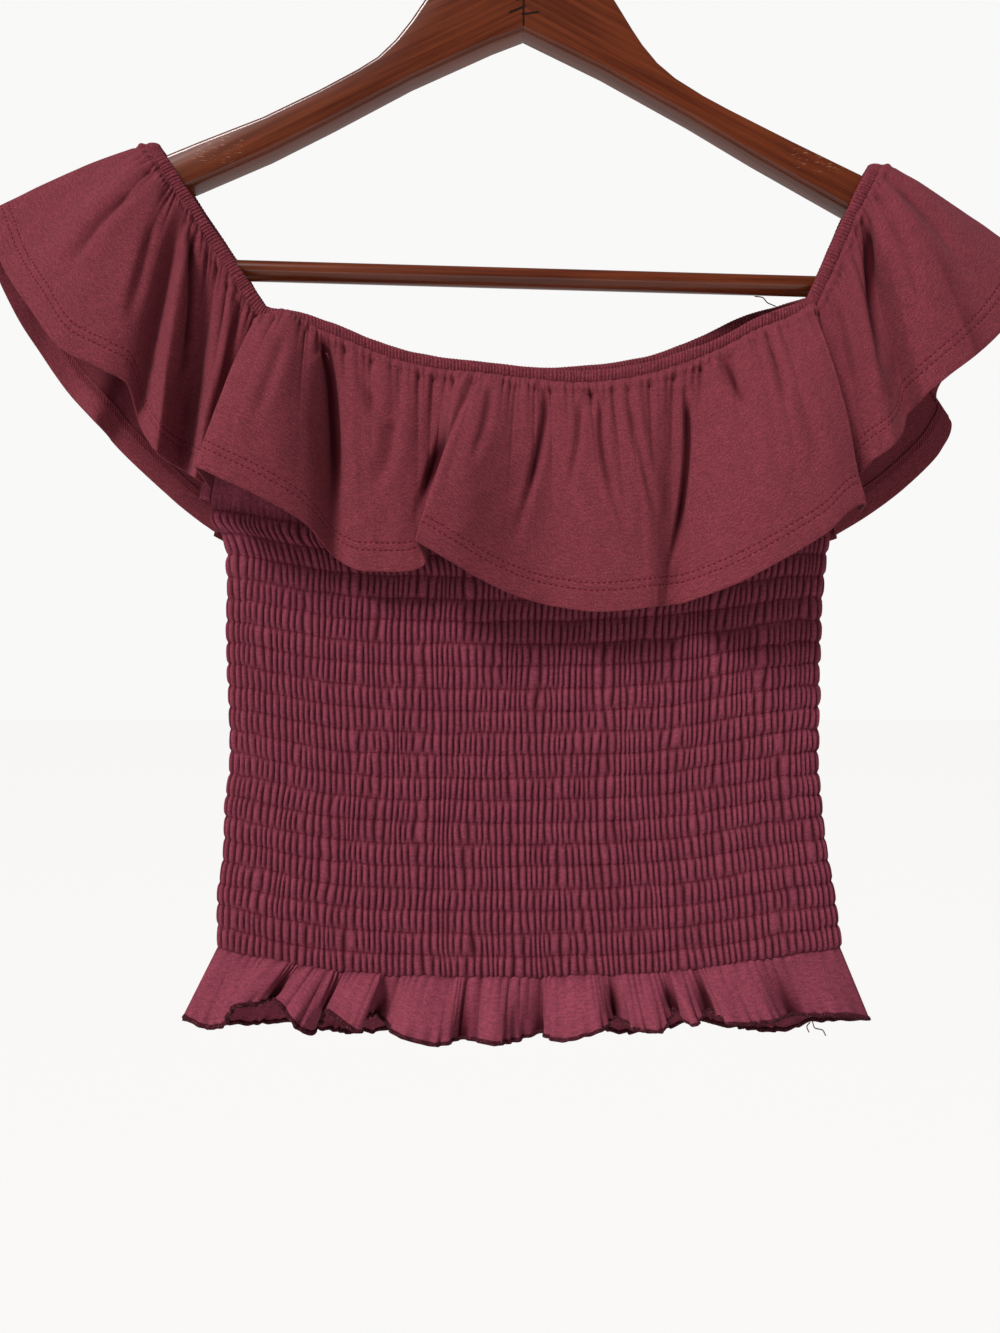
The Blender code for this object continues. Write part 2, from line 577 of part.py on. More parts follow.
# Flounces
facing_front = lambda places: np.tile([0.0, -1.0, 0.0], (len(places), 1))
facing_back = lambda places: np.tile([0.0, 1.0, 0.0], (len(places), 1))


def facing_over(places):
    """Outwards turns from the front, over the arm, to the back."""
    angle = math.pi * np.clip((places - 0.40) / 0.20, 0.0, 1.0)
    return np.stack([np.zeros(len(places)), -np.cos(angle), np.sin(angle)], axis=1)


flounce("flounce_front", casings["front"], FOLDS_FRONT, facing_front, 1.0, 52, 6, jersey)
flounce("flounce_back", casings["back"], FOLDS_BACK, facing_back, 1.0, 36, 5, jersey)
flounce("flounce_left", casings["left"], FOLDS_LEFT, facing_over, -1.0, 42, 6, jersey)
flounce("flounce_right", casings["right"], FOLDS_RIGHT, facing_over, -1.0, 42, 6, jersey)

# Bodice
bodice_panel("bodice_front", 1.0, casings["front"], jersey)
bodice_panel("bodice_back", -1.0, casings["back"], jersey)
armhole_binding("armhole_binding_left", -1.0, jersey)
armhole_binding("armhole_binding_right", 1.0, jersey)

# Hem ruffle
hem_ruffle("hem_ruffle_front", 1.0, RUFFLE_FRONT, jersey)
back_folds = []
for step in range(2 * RUFFLE_WAVES_BACK + 1):
    place = step / (2 * RUFFLE_WAVES_BACK)
    ridge = step % 2
    at_side = min(1.0, 6.0 * min(place, 1.0 - place))
    out = -(0.6 + at_side * (10.5 + 7.5 * ridge + 1.5 * math.sin(3.7 * step)))
    down = 548.0 + at_side * (RUFFLE_BACK_DOWN - 548.0 + 4.0 * ridge + 2.0 * math.sin(2.3 * step))
    across = -156.5 + 309.5 * (place + 0.006 * math.sin(5.1 * step) * at_side)
    back_folds.append((across, down, out))
hem_ruffle("hem_ruffle_back", -1.0, back_folds, jersey)

# Hanger
left_arm = hanger_arm("hanger_arm_left", ARM_LEFT, lacquer)
right_arm = hanger_arm("hanger_arm_right", ARM_RIGHT, lacquer)
bar_ends = [seen(face, BAR_AT_CENTRE, ARM_THICKNESS / 2)[0] for face in BAR_FACES]
bar_path = [(x, 0.0, -BAR_AT_CENTRE - math.tan(HANGER_TILT) * x)
            for x in np.linspace(bar_ends[0] + GAP, bar_ends[1] - GAP, 9)]
rod("hanger_bar", bar_path, BAR_DIAMETER, lacquer)
seat = HOOK_WIRE / 2
crest = seen(*ARM_LEFT[0], ARM_THICKNESS / 2)
hook_path = [(-3.0, 0.0, crest[2] + GAP), (-2.7, 0.0, -56.0), (-1.0, 0.0, -47.5), (6.0, 0.0, -41.0)]
for degrees in range(-45, 206, 14):
    angle = math.radians(degrees)
    centre = seat - HOOK_RADIUS
    hook_path.append((HOOK_RADIUS * math.cos(angle), 0.0, centre + HOOK_RADIUS * math.sin(angle)))
rod("hanger_hook", hook_path, HOOK_WIRE, steel)
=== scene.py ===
"""Off-shoulder jersey top on a wooden hanger, dressed for the camera.

Frame: the origin is the hanging point, inside the top of the hook. +Z is up, +X is to the
right of someone who looks at the front, and the front of the garment faces -Y.
Tables are in millimetres. Their across and down columns are measured on the hanger's own
plane, as it is seen from EYE, and out is the true distance in front of that plane.
"""

import math

import bmesh
import bpy
import numpy as np
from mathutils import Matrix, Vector


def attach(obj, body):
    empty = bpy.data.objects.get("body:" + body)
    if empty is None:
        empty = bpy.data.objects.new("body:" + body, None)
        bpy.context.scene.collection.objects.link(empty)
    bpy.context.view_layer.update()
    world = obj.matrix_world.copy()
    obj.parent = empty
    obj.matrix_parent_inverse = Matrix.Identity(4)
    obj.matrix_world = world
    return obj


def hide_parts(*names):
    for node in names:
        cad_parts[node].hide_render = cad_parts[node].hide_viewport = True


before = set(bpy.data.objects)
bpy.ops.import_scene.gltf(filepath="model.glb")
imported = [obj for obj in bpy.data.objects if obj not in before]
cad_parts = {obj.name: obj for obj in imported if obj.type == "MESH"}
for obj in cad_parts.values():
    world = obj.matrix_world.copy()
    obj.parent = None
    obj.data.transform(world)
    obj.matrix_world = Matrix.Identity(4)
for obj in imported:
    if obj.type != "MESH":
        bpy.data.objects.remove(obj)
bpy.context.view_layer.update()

MM = 0.001
GAP = 0.3

# The camera stands where across and down are measured from
EYE = np.array([-13.5, -453.0, -389.0])
LENS = 27.2
SENSOR = 36.0

# Neck casing: a strip drawn up over elastic. Its tube is narrower than the strip's whole width.
CASING_WIDTH = 7.0
CASING_TUBE = 5.6
TUCKED = 1.6
CASING_DEPTH = 3.2
CORNER_LAP = 1.6
RIB_PITCH = 1.5
LINE_POINTS = 400
MITRE_REACH = 6.0
LAP = 0.8
LAP_REACH = 0.05

# Shirred bodice
SHIRR_ROWS = 20
YOKE_STEPS = 4
GATHERS_ACROSS = 92
PUFF = 1.9
BODY_HALF_DEPTH = 10.5
SECTION_POWER = 0.9
FIRST_ROW_DOWN = 319.0
LAST_ROW_DOWN = 514.5
UNDERARM_DOWN = 314.0
ROW_SAG = 11.5
NECK_EDGE_DOWN = 237.0
SEAM_OUT = 0.15
ARMHOLE_OUT = 6.0
YOKE_OUT = 10.6

# Pitches of the gathers, folds and curls
WIDE_GATHER = 10.5
SMALL_GATHER = 4.6
FINE_GATHER = 1.9
RUFFLE_GATHER = 6.5
RUFFLE_FOLD = 21.0
RUFFLE_CURL = 7.5

# Hems and bindings. From WALE_PITCH to COVERED_AT in metres, as the materials are.
HEM_TURN = 12.7
HEM_ROUND = 0.45
TWIN_NEEDLES = (8.8, 12.0)
BINDING_WIDTH = 5.0
WALE_PITCH = 0.00075
COURSE_PITCH = 0.0011
STITCH_PITCH = 0.0026
ELASTIC_STITCH = 0.0021
COVERED_AT = 0.0121
FALL_POWER = 1.25
SHEET_HEM = 2.0
BODICE_LENGTH = 290.0
RUFFLE_DEPTH = 36.0
OVERLOCK_PITCH = 1.1
OVERLOCK_STEP = 0.28

# Hanger
ARM_THICKNESS = 12.0
ARM_ROUND = 2.2
BAR_DIAMETER = 9.0
BAR_AT_CENTRE = 214.6
HANGER_TILT = math.radians(1.6)
HOOK_WIRE = 4.0
HOOK_RADIUS = 18.0

# Upper edge of the neck casing: across, down
CASING_FRONT = [
    (-118.5, 227.5), (-103.5, 229.5), (-90, 234), (-58.5, 246), (-41.5, 249.5),
    (-15.5, 252.5), (8.5, 255), (22.5, 256), (36, 255), (53.5, 252),
    (66, 248), (76.5, 244.5), (90, 238.5), (101, 232.5), (111, 228.5),
    (124, 224),
]
CASING_BACK = [
    (-118.5, 227), (-90, 236.5), (-58.5, 248.5), (-22.5, 253.5), (7, 254.5),
    (31.5, 253), (54, 249), (76.5, 240.5), (97, 231), (112.5, 226.5),
    (124, 223),
]
# Side casings run from the front corner over the arm to the back corner: across, down, out
CASING_LEFT = [
    (-118.5, 227.5, 9.5), (-130.5, 209.5, 9.3), (-142.5, 191.5, 9.2), (-154.5, 173.5, 9),
    (-162, 161.5, 8.6), (-166, 155.5, 0), (-162, 160, -8.6), (-154.5, 171.5, -9),
    (-142.5, 190, -9.2), (-130.5, 208, -9.3), (-118.5, 227, -9.5),
]
CASING_RIGHT = [
    (124, 224, 9.5), (131, 209, 9.3), (138, 193, 9.2), (144, 180, 9),
    (148.5, 171, 8.8), (151.5, 164.8, 0), (148.5, 169.5, -8.8), (144, 178.5, -9),
    (138, 191.5, -9.2), (131, 208, -9.3), (124, 223, -9.5),
]

# Folds of each flounce: place along the casing from 0 to 1, hem across, hem down, hem out,
# and how far the middle of the fold bows outwards
FOLDS_FRONT = [
    (0.000, -144, 309, 17, 1), (0.006, -151, 298.5, 38, 7),
    (0.035, -138.5, 304, 43, 8), (0.060, -120.5, 312.5, 41, 8),
    (0.090, -101, 324.5, 33, 6), (0.125, -87.5, 340, 21, -1),
    (0.170, -75.5, 345.5, 25, 3), (0.250, -58.5, 346, 25, 3),
    (0.335, -47, 342, 24, -1), (0.375, -51.5, 332, 46, 6),
    (0.410, -37.5, 340, 44, 8), (0.440, -22.5, 349, 38, 6),
    (0.475, -7, 356.5, 31, 4), (0.520, 10.5, 361.5, 27, 2),
    (0.575, 31, 364, 28, 4), (0.655, 53.5, 362, 29, 4),
    (0.765, 65.5, 360.5, 23, -1), (0.820, 89, 353, 34, 5),
    (0.875, 112, 341.5, 38, 8), (0.935, 133, 329, 38, 9),
    (0.992, 151, 315.5, 33, 8), (1.000, 148.5, 319, 17, 1),
]
FOLDS_BACK = [
    (0.000, -142, 330, -22.5, 1), (0.060, -126, 338, -34, 6),
    (0.140, -108, 340, -38, 7), (0.220, -88, 349, -24, 0),
    (0.300, -68, 350, -37, 6), (0.380, -47, 356, -38, 6),
    (0.450, -27, 363, -25, 0), (0.520, -6, 361, -37, 6),
    (0.600, 16, 366, -35, 5), (0.670, 40, 368, -24, 0),
    (0.740, 62, 359, -38, 7), (0.810, 83, 355, -36, 6),
    (0.870, 101, 350, -24, 0), (0.940, 119, 338, -35, 7),
    (1.000, 138, 331, -25, 1),
]
FOLDS_LEFT = [
    (0.000, -144.5, 307, 14.5, 0), (0.108, -150.5, 304, 23, 3),
    (0.197, -156.5, 300, 13, -2), (0.270, -168, 292, 28, 6),
    (0.310, -176.5, 277, 20, 2), (0.336, -181, 262, 27, 5),
    (0.370, -193.5, 254.5, 31, 7), (0.400, -210.5, 246, 30, 7),
    (0.430, -225, 227.5, 24, 6), (0.465, -237, 209.5, 13, 3),
    (0.500, -246, 185.5, 0, 2.5), (0.545, -243, 204, -13, 3),
    (0.585, -231, 230.5, -24, 6), (0.625, -219.5, 248.5, -31, 7),
    (0.670, -207, 266, -33, 6), (0.715, -196, 278, -24, 1),
    (0.760, -188, 287, -31, 5), (0.840, -169, 306, -30, 5),
    (0.920, -150.5, 322, -25, 2), (1.000, -140.5, 329, -20, 0),
]
FOLDS_RIGHT = [
    (0.000, 145.5, 305, 14, 0), (0.090, 154, 296, 22, 3),
    (0.190, 162.5, 290, 25, 4), (0.265, 168, 283.5, 20, 1),
    (0.310, 170.5, 274, 17, -1), (0.350, 177.5, 267, 27, 5),
    (0.390, 188, 258, 30, 7), (0.425, 200.5, 248.5, 28, 7),
    (0.455, 213.5, 236, 22, 6), (0.480, 222.5, 223, 15, 6),
    (0.500, 227, 207, 0, 2.5), (0.535, 223, 217.5, -12, 3),
    (0.570, 211.5, 228.5, -22, 6), (0.610, 198, 242, -29, 7),
    (0.660, 187, 256.5, -31, 6), (0.710, 182.5, 266.5, -34, 5),
    (0.760, 189.5, 280, -37, 6), (0.820, 184.5, 291.5, -35, 6),
    (0.880, 168.5, 308, -33, 5), (0.940, 151, 321, -27, 3),
    (1.000, 136, 330, -23, 0),
]

# Creases pressed into a flounce: across and down at the start, middle and end of each one's line,
# then its width and depth
CREASES_FRONT = [
    (4.5, 262.8, 5.4, 285.3, -6.8, 331.7, 2.2, 2.6), (22.5, 270.5, 21.2, 289.4, 16.2, 313.7, 1.8, 1.7),
    (33.3, 267.8, 32.9, 293, 43.2, 327.6, 2, 2.3), (44.6, 271.4, 50.9, 296.6, 57.2, 324.5, 2, 1.6),
    (70.2, 265.5, 69.8, 305.1, 62.1, 347, 1.8, 3.2), (117.5, 262, 126, 280, 132, 298, 4, 1.4),
    (-60.8, 268, -63.9, 291.6, -69.8, 309.6, 4, 1.8), (-93, 245, -88.5, 268, -87, 334, 3, 3.6),
    (-77, 255, -70, 272, -60, 284, 3, 1.6), (-26, 260, -40, 290, -52, 326, 2.4, 2.8),
    (-18, 262, -20, 280, -28, 300, 2.6, 1.4), (87, 250, 92, 262, 99, 276, 2.6, 1.8),
    (-110, 240, -118, 262, -126, 284, 3.2, 1.2), (104, 244, 112, 256, 115, 280, 3, 1.2),
]
CREASES_BACK = [
    (-104, 246, -112, 272, -118, 306, 3, 1.8), (-72, 262, -76, 290, -84, 330, 2.6, 2.4),
    (-30, 268, -28, 296, -38, 336, 2.4, 2), (4, 270, 8, 298, 2, 340, 2.2, 1.8),
    (34, 266, 40, 292, 50, 330, 2.4, 2.2), (78, 254, 84, 280, 92, 318, 3, 2.4),
    (108, 246, 116, 270, 122, 300, 3, 1.6),
]
CREASES_LEFT = [
    (-153, 190, -152, 226, -158, 272, 2.4, 3), (-169, 190, -175, 212, -181, 236, 3, 1.8),
    (-139, 214, -140, 240, -146, 268, 2.2, 1.8), (-178, 175, -196, 190, -210, 214, 3.6, 1.8),
    (-130, 226, -134, 248, -138, 274, 2.2, 1.6),
]
CREASES_RIGHT = [
    (152, 190, 154, 224, 161, 262, 2.6, 3), (160, 182, 170, 205, 178, 232, 3, 1.6),
    (137, 214, 141, 240, 146, 268, 2.4, 1.8), (164, 172, 182, 190, 196, 212, 3.4, 1.6),
]

# Outline of the shirred body: down, left edge, right edge
BODY_EDGES = [
    (227, -117, 122), (262, -128, 128), (300, -140, 135.5),
    (314, -143, 136.5), (322, -142.5, 135.5), (331, -137.5, 133.5),
    (340, -135.5, 132.5), (366, -135.5, 130), (404, -134.5, 129),
    (431, -134, 128.5), (450, -136, 130), (471, -137, 132.5),
    (491, -139.5, 136), (514, -140, 139),
]

# Hem ruffle from the left seam to the right: hem across, down, out
RUFFLE_FRONT = [
    (-156.5, 547, 0.6), (-146, 552, 9), (-137, 550.5, 14),
    (-134, 543, 19), (-125, 541.5, 17), (-116.5, 539, 11),
    (-113, 542, 17), (-106.5, 550.5, 19), (-99, 554, 15),
    (-94, 549, 10), (-91, 545, 15), (-79, 554, 20),
    (-74.5, 547, 13), (-69, 546, 10), (-58.5, 556, 17),
    (-42, 560, 19), (-31, 556.5, 14), (-16, 559.5, 20),
    (-6.5, 557.5, 14), (3, 554, 11), (14, 558, 18),
    (30, 554.5, 20), (38.5, 546, 12), (48, 553, 18),
    (59, 554, 19), (64.5, 543, 11), (74, 551, 19),
    (80.5, 543, 12), (91, 550.5, 19), (108, 549.5, 17),
    (120, 546, 9), (138, 546.5, 10), (153, 548, 0.6),
]
RUFFLE_WAVES_BACK = 12
RUFFLE_BACK_DOWN = 551.0

# Arm outlines: across, down, on the front face of the arm
BAR_FACES = (-207.0, 194.0)
ARM_LEFT = [
    (-3.04, 62), (-18, 64), (-31, 69.5), (-40.5, 78), (-48.2, 89.1), (-54, 97.7),
    (-60.8, 106.2), (-68.9, 113.9), (-77.9, 119.5), (-95.1, 128.7), (-120.4, 140.9),
    (-149.1, 152.1), (-163.4, 158), (-198, 174.5), (-221, 187.5), (-228.5, 199),
    (-227, 212), (-219.5, 218), (BAR_FACES[0], 218), (BAR_FACES[0], 199.5),
    (-153.7, 172.8), (-118.1, 157.5), (-89.6, 143.1), (-54, 124.2), (-17.1, 107.6),
    (-3.04, 102.2),
]
ARM_RIGHT = [
    (-2.96, 62), (11.5, 64.5), (23.5, 70.5), (32, 79), (38.7, 89.1), (46.4, 101.7),
    (50.9, 108.5), (57.6, 116.6), (65.7, 123.5), (78.3, 131.4), (90, 137.7), (118.4, 152.1),
    (150.8, 167.9), (186, 185.5), (208, 198.5), (215.5, 210), (214, 223),
    (206.5, 229), (BAR_FACES[1], 229), (BAR_FACES[1], 209.5), (143.8, 183.2),
    (101.3, 159.1), (72.5, 141.8), (32.4, 119.5), (-2.96, 102.2),
]


def place_camera():
    lens = bpy.data.cameras.new("camera")
    lens.lens = LENS
    lens.sensor_width = SENSOR
    camera = bpy.data.objects.new("camera", lens)
    camera.location = Vector(EYE * MM)
    camera.rotation_euler = (math.pi / 2, 0.0, 0.0)
    bpy.context.scene.collection.objects.link(camera)
    bpy.context.scene.camera = camera


place_camera()


# Shapes of lines and grids

def seen(across, down, out):
    """The point at a true distance out that covers this place on the hanger's plane."""
    on_plane = np.array([across, 0.0, -down])
    return EYE + (on_plane - EYE) * (-EYE[1] - out) / -EYE[1]


def smooth(at, values, wanted):
    """Cubic curve through values at the places at, with slopes that never overshoot."""
    at = np.asarray(at, dtype=float)
    values = np.asarray(values, dtype=float)
    flat = values.ndim == 1
    if flat:
        values = values[:, None]
    step = np.diff(at)[:, None]
    slope = np.diff(values, axis=0) / step
    tangent = np.empty_like(values)
    tangent[0] = slope[0]
    tangent[-1] = slope[-1]
    before = slope[:-1]
    after = slope[1:]
    same_way = before * after > 0.0
    blend = 2.0 * before * after / np.where(same_way, before + after, 1.0)
    tangent[1:-1] = np.where(same_way, blend, 0.0)
    wanted = np.atleast_1d(wanted)
    span = np.clip(np.searchsorted(at, wanted, side="right") - 1, 0, len(step) - 1)
    width = step[span]
    t = ((wanted - at[span])[:, None]) / width
    result = ((2 * t**3 - 3 * t**2 + 1) * values[span] + (t**3 - 2 * t**2 + t) * width * tangent[span]
              + (3 * t**2 - 2 * t**3) * values[span + 1] + (t**3 - t**2) * width * tangent[span + 1])
    return result[:, 0] if flat else result


def lengths(points):
    """How far along a line each of its points lies."""
    return np.concatenate([[0.0], np.cumsum(np.linalg.norm(np.diff(points, axis=0), axis=1))])


def resample(points, wanted):
    """Points at the wanted distances along a line."""
    at = lengths(points)
    return np.stack([np.interp(wanted, at, column) for column in points.T], axis=1)


def spline(points, count):
    """Points at equal steps of a smooth curve through the given ones."""
    points = np.asarray(points, dtype=float)
    at = lengths(points)
    fine = smooth(at, points, np.linspace(0.0, at[-1], 40 * len(points)))
    return resample(fine, np.linspace(0.0, lengths(fine)[-1], count))


def unit(vectors):
    return vectors / np.linalg.norm(vectors, axis=-1, keepdims=True)


def normals(grid):
    """Unit normals of a grid whose rows go down and whose columns go right."""
    return unit(np.cross(np.gradient(grid, axis=0), np.gradient(grid, axis=1)))


def outward(points, facing):
    """Unit normals of a grid, on the side that faces this way."""
    found = normals(points)
    return found * np.sign(np.mean(np.sum(found * facing, axis=-1)))


def wander(at, seed):
    """Smooth random values from -1 to 1 that change once in every unit of at."""
    table = np.random.default_rng(seed).uniform(-1.0, 1.0, 1024)
    cell = np.floor(at).astype(int)
    part = at - cell
    part = part * part * (3.0 - 2.0 * part)
    return table[cell % 1024] * (1.0 - part) + table[(cell + 1) % 1024] * part


def wander_over(a, b, seed):
    """Smooth random values from -1 to 1 over two directions."""
    table = np.random.default_rng(seed).uniform(-1.0, 1.0, (128, 128))
    cell_a = np.floor(a).astype(int)
    cell_b = np.floor(b).astype(int)
    part_a = a - cell_a
    part_b = b - cell_b
    part_a = part_a * part_a * (3.0 - 2.0 * part_a)
    part_b = part_b * part_b * (3.0 - 2.0 * part_b)

    def row_of(cell):
        cell = cell % 128
        return table[cell, cell_b % 128] * (1 - part_b) + table[cell, (cell_b + 1) % 128] * part_b

    return row_of(cell_a) * (1 - part_a) + row_of(cell_a + 1) * part_a


# Making pieces

def finish_piece(name, mesh, finish, stands_for):
    """Dress a mesh, seat it on the one body and hide the solids that it stands for."""
    mesh.materials.append(finish)
    mesh.shade_smooth()
    piece = bpy.data.objects.new(name, mesh)
    bpy.context.scene.collection.objects.link(piece)
    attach(piece, "root")
    if stands_for:
        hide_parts(*stands_for)
    return piece


def grid_mesh(name, points, along, down, relief, flip=False, closed=False):
    """A bmesh grid laid on the points of a drape; along and down are its cloth coordinates in mm.
    The grid of shade values is painted shade for the cloth's colour: 0 in the deepest creases, where
    the painted shade is darkest, and 1 where the cloth stands proud and is left unshaded."""
    rows, columns = points.shape[:2]
    work = bmesh.new()
    work.loops.layers.uv.new("cloth")
    bmesh.ops.create_grid(work, x_segments=columns - 1, y_segments=rows - 1, size=1.0, calc_uvs=True)
    mesh = bpy.data.meshes.new(name)
    work.to_mesh(mesh)
    work.free()
    flat = np.empty(len(mesh.vertices) * 3)
    mesh.vertices.foreach_get("co", flat)
    flat = flat.reshape(-1, 3)
    column = np.rint((flat[:, 0] + 1.0) / 2.0 * (columns - 1)).astype(int)
    row = np.rint((1.0 - flat[:, 1]) / 2.0 * (rows - 1)).astype(int)
    mesh.vertices.foreach_set("co", (points[row, column] * MM).ravel())
    corner = np.empty(len(mesh.loops), dtype=int)
    mesh.loops.foreach_get("vertex_index", corner)
    cloth_place = np.stack([along[row, column], down[row, column]], axis=1)[corner] * MM
    mesh.uv_layers["cloth"].data.foreach_set("uv", cloth_place.ravel())
    # Kept on the mesh for the cloth material, which paints shade from it
    proud = mesh.attributes.new("relief", "FLOAT", "POINT")
    proud.data.foreach_set("value", np.clip(relief[row, column], 0.0, 1.0))
    if flip or closed:
        work = bmesh.new()
        work.from_mesh(mesh)
        if closed:
            bmesh.ops.remove_doubles(work, verts=work.verts, dist=0.00001)
            rim = [edge for edge in work.edges if edge.is_boundary]
            bmesh.ops.holes_fill(work, edges=rim, sides=0)
            bmesh.ops.recalc_face_normals(work, faces=work.faces)
        if flip:
            bmesh.ops.reverse_faces(work, faces=work.faces)
        work.to_mesh(mesh)
        work.free()
    mesh.update()
    return mesh


def cloth_places(points):
    """Distances along the middle row and down the middle column, for the cloth's own coordinates."""
    across = lengths(points[points.shape[0] // 2])
    down = lengths(points[:, points.shape[1] // 2])
    return np.broadcast_to(across, points.shape[:2]), np.broadcast_to(down[:, None], points.shape[:2])


def tube(name, path, wide, deep, side, finish, stands_for, around=12, shape=2.0, relief=1.0):
    """A closed tube along a path. side is the direction of its width, and shape squares its section."""
    tangent = unit(np.gradient(path, axis=0))
    side = unit(side)
    out = unit(np.cross(tangent, side))
    angle = np.linspace(0.0, 2 * math.pi, around + 1)
    a = np.sign(np.cos(angle)) * np.abs(np.cos(angle)) ** (2.0 / shape)
    b = np.sign(np.sin(angle)) * np.abs(np.sin(angle)) ** (2.0 / shape)
    wide = np.broadcast_to(wide, len(path))
    deep = np.broadcast_to(deep, len(path))
    points = (path[None] + side[None] * (a[:, None] * wide / 2)[:, :, None]
              + out[None] * (b[:, None] * deep / 2)[:, :, None])
    along = np.broadcast_to(lengths(path), points.shape[:2])
    girth = np.broadcast_to((angle * (wide[0] + deep[0]) / 4)[:, None], points.shape[:2])
    # Painted shade for the tube's cloth: 1 leaves it unshaded and lower values darken it
    proud = np.broadcast_to(relief, points.shape[:2])
    mesh = grid_mesh(name, points, along, girth, proud, closed=True)
    return finish_piece(name, mesh, finish, stands_for)


# Finishes

class Wire:
    """A value on its way through a material's nodes, with the arithmetic that is used on it."""

    def __init__(self, tree, socket):
        self.tree = tree
        self.socket = socket

    def math(self, operation, *values):
        return self.tree.add("ShaderNodeMath", {"operation": operation}, *values)

    def __add__(self, other):
        return self.math("ADD", self, other)

    def __radd__(self, other):
        return self.math("ADD", other, self)

    def __sub__(self, other):
        return self.math("SUBTRACT", self, other)

    def __rsub__(self, other):
        return self.math("SUBTRACT", other, self)

    def __mul__(self, other):
        return self.math("MULTIPLY", self, other)

    def __rmul__(self, other):
        return self.math("MULTIPLY", other, self)

    def __truediv__(self, other):
        return self.math("DIVIDE", self, other)

    def power(self, other):
        return self.math("POWER", self, other)

    def over(self, low, high):
        """0 below low and 1 above high, with a soft step between."""
        return self.tree.add("ShaderNodeMapRange", {"interpolation_type": "SMOOTHSTEP"},
                             self, low, high, 0.0, 1.0)


class Finish:
    """A material built node by node round one Principled shader."""

    def __init__(self, name, **sockets):
        self.material = bpy.data.materials.new(name)
        self.material.use_nodes = True
        self.nodes = self.material.node_tree.nodes
        self.links = self.material.node_tree.links
        self.shader = self.nodes["Principled BSDF"]
        for socket, value in sockets.items():
            self.shader.inputs[socket.replace("_", " ")].default_value = value

    def add(self, kind, settings, *values, out=0, **named):
        node = self.nodes.new(kind)
        for setting, value in settings.items():
            if setting == "stops":
                ramp = node.color_ramp
                while len(ramp.elements) < len(value):
                    ramp.elements.new(0.5)
                for element, (position, colour) in zip(ramp.elements, value):
                    element.position = position
                    element.color = (*colour, 1.0)
            else:
                setattr(node, setting, value)
        for socket, value in enumerate(values):
            self.join(node.inputs[socket], value)
        for socket, value in named.items():
            self.join(node.inputs[socket.replace("_", " ")], value)
        return Wire(self, node.outputs[out])

    def join(self, socket, value):
        if isinstance(value, Wire):
            self.links.new(value.socket, socket)
        elif value is not None:
            socket.default_value = value

    def to(self, socket, value):
        self.join(self.shader.inputs[socket], value)

    def cloth(self):
        """The piece's own cloth coordinates, in metres."""
        return self.add("ShaderNodeUVMap", {"uv_map": "cloth"})

    def place(self):
        return self.add("ShaderNodeTexCoord", {}, out=3)

    def parts(self, vector):
        """The three numbers of a vector."""
        split = self.add("ShaderNodeSeparateXYZ", {}, vector)
        node = split.socket.node
        return [Wire(self, node.outputs[i]) for i in range(3)]

    def noise(self, vector, scale, detail=2.0, roughness=0.5):
        return self.add("ShaderNodeTexNoise", {}, Vector=vector, Scale=scale, Detail=detail,
                        Roughness=roughness)

    def mix(self, share, first, second, blend="MIX"):
        node = self.nodes.new("ShaderNodeMix")
        node.data_type = "RGBA"
        node.blend_type = blend
        self.join(node.inputs[0], share)
        self.join(node.inputs[6], first)
        self.join(node.inputs[7], second)
        return Wire(self, node.outputs[2])

    def math(self, operation, *values):
        return self.add("ShaderNodeMath", {"operation": operation}, *values)

    def wave(self, distance, pitch):
        """A sine from -1 to 1 that repeats every pitch."""
        return self.math("SINE", distance * (2 * math.pi / pitch))

    def absolute(self, value):
        return self.math("ABSOLUTE", value)

    def near(self, x, z, at_x, at_z, reach_x, reach_z):
        """1 inside a soft oval on the front of the piece and 0 outside it."""
        across = (x - at_x) / reach_x
        upward = (z - at_z) / reach_z
        return 1.0 - (across * across + upward * upward).over(0.4, 1.0)

    def beside(self, x, z, start, end, reach):
        """1 on the line between two points and 0 further than reach from it."""
        run = Vector(end) - Vector(start)
        share = ((x - start[0]) * run.x + (z - start[1]) * run.y) / run.length_squared
        share = self.add("ShaderNodeClamp", {}, share, 0.0, 1.0)
        off_x = x - start[0] - share * run.x
        off_z = z - start[1] - share * run.y
        return 1.0 - (off_x * off_x + off_z * off_z).power(0.5).over(reach * 0.5, reach)

    def raised(self, height, distance, strength=1.0, on=None):
        return self.add("ShaderNodeBump", {}, Strength=strength, Distance=distance, Height=height,
                        Normal=on)


def shade(colour, share):
    """A colour made lighter or darker, as a node's value."""
    return (*(part * share for part in colour), 1.0)


WINE = (0.165, 0.0265, 0.038)
SHIRRED_WINE = (0.205, 0.036, 0.060)
# Thread red: the thread is the same wine as the cloth, drawn this dark as painted shade in the stitch
# grooves
STITCH_SHADE_RED = (0.070, 0.004, 0.010)


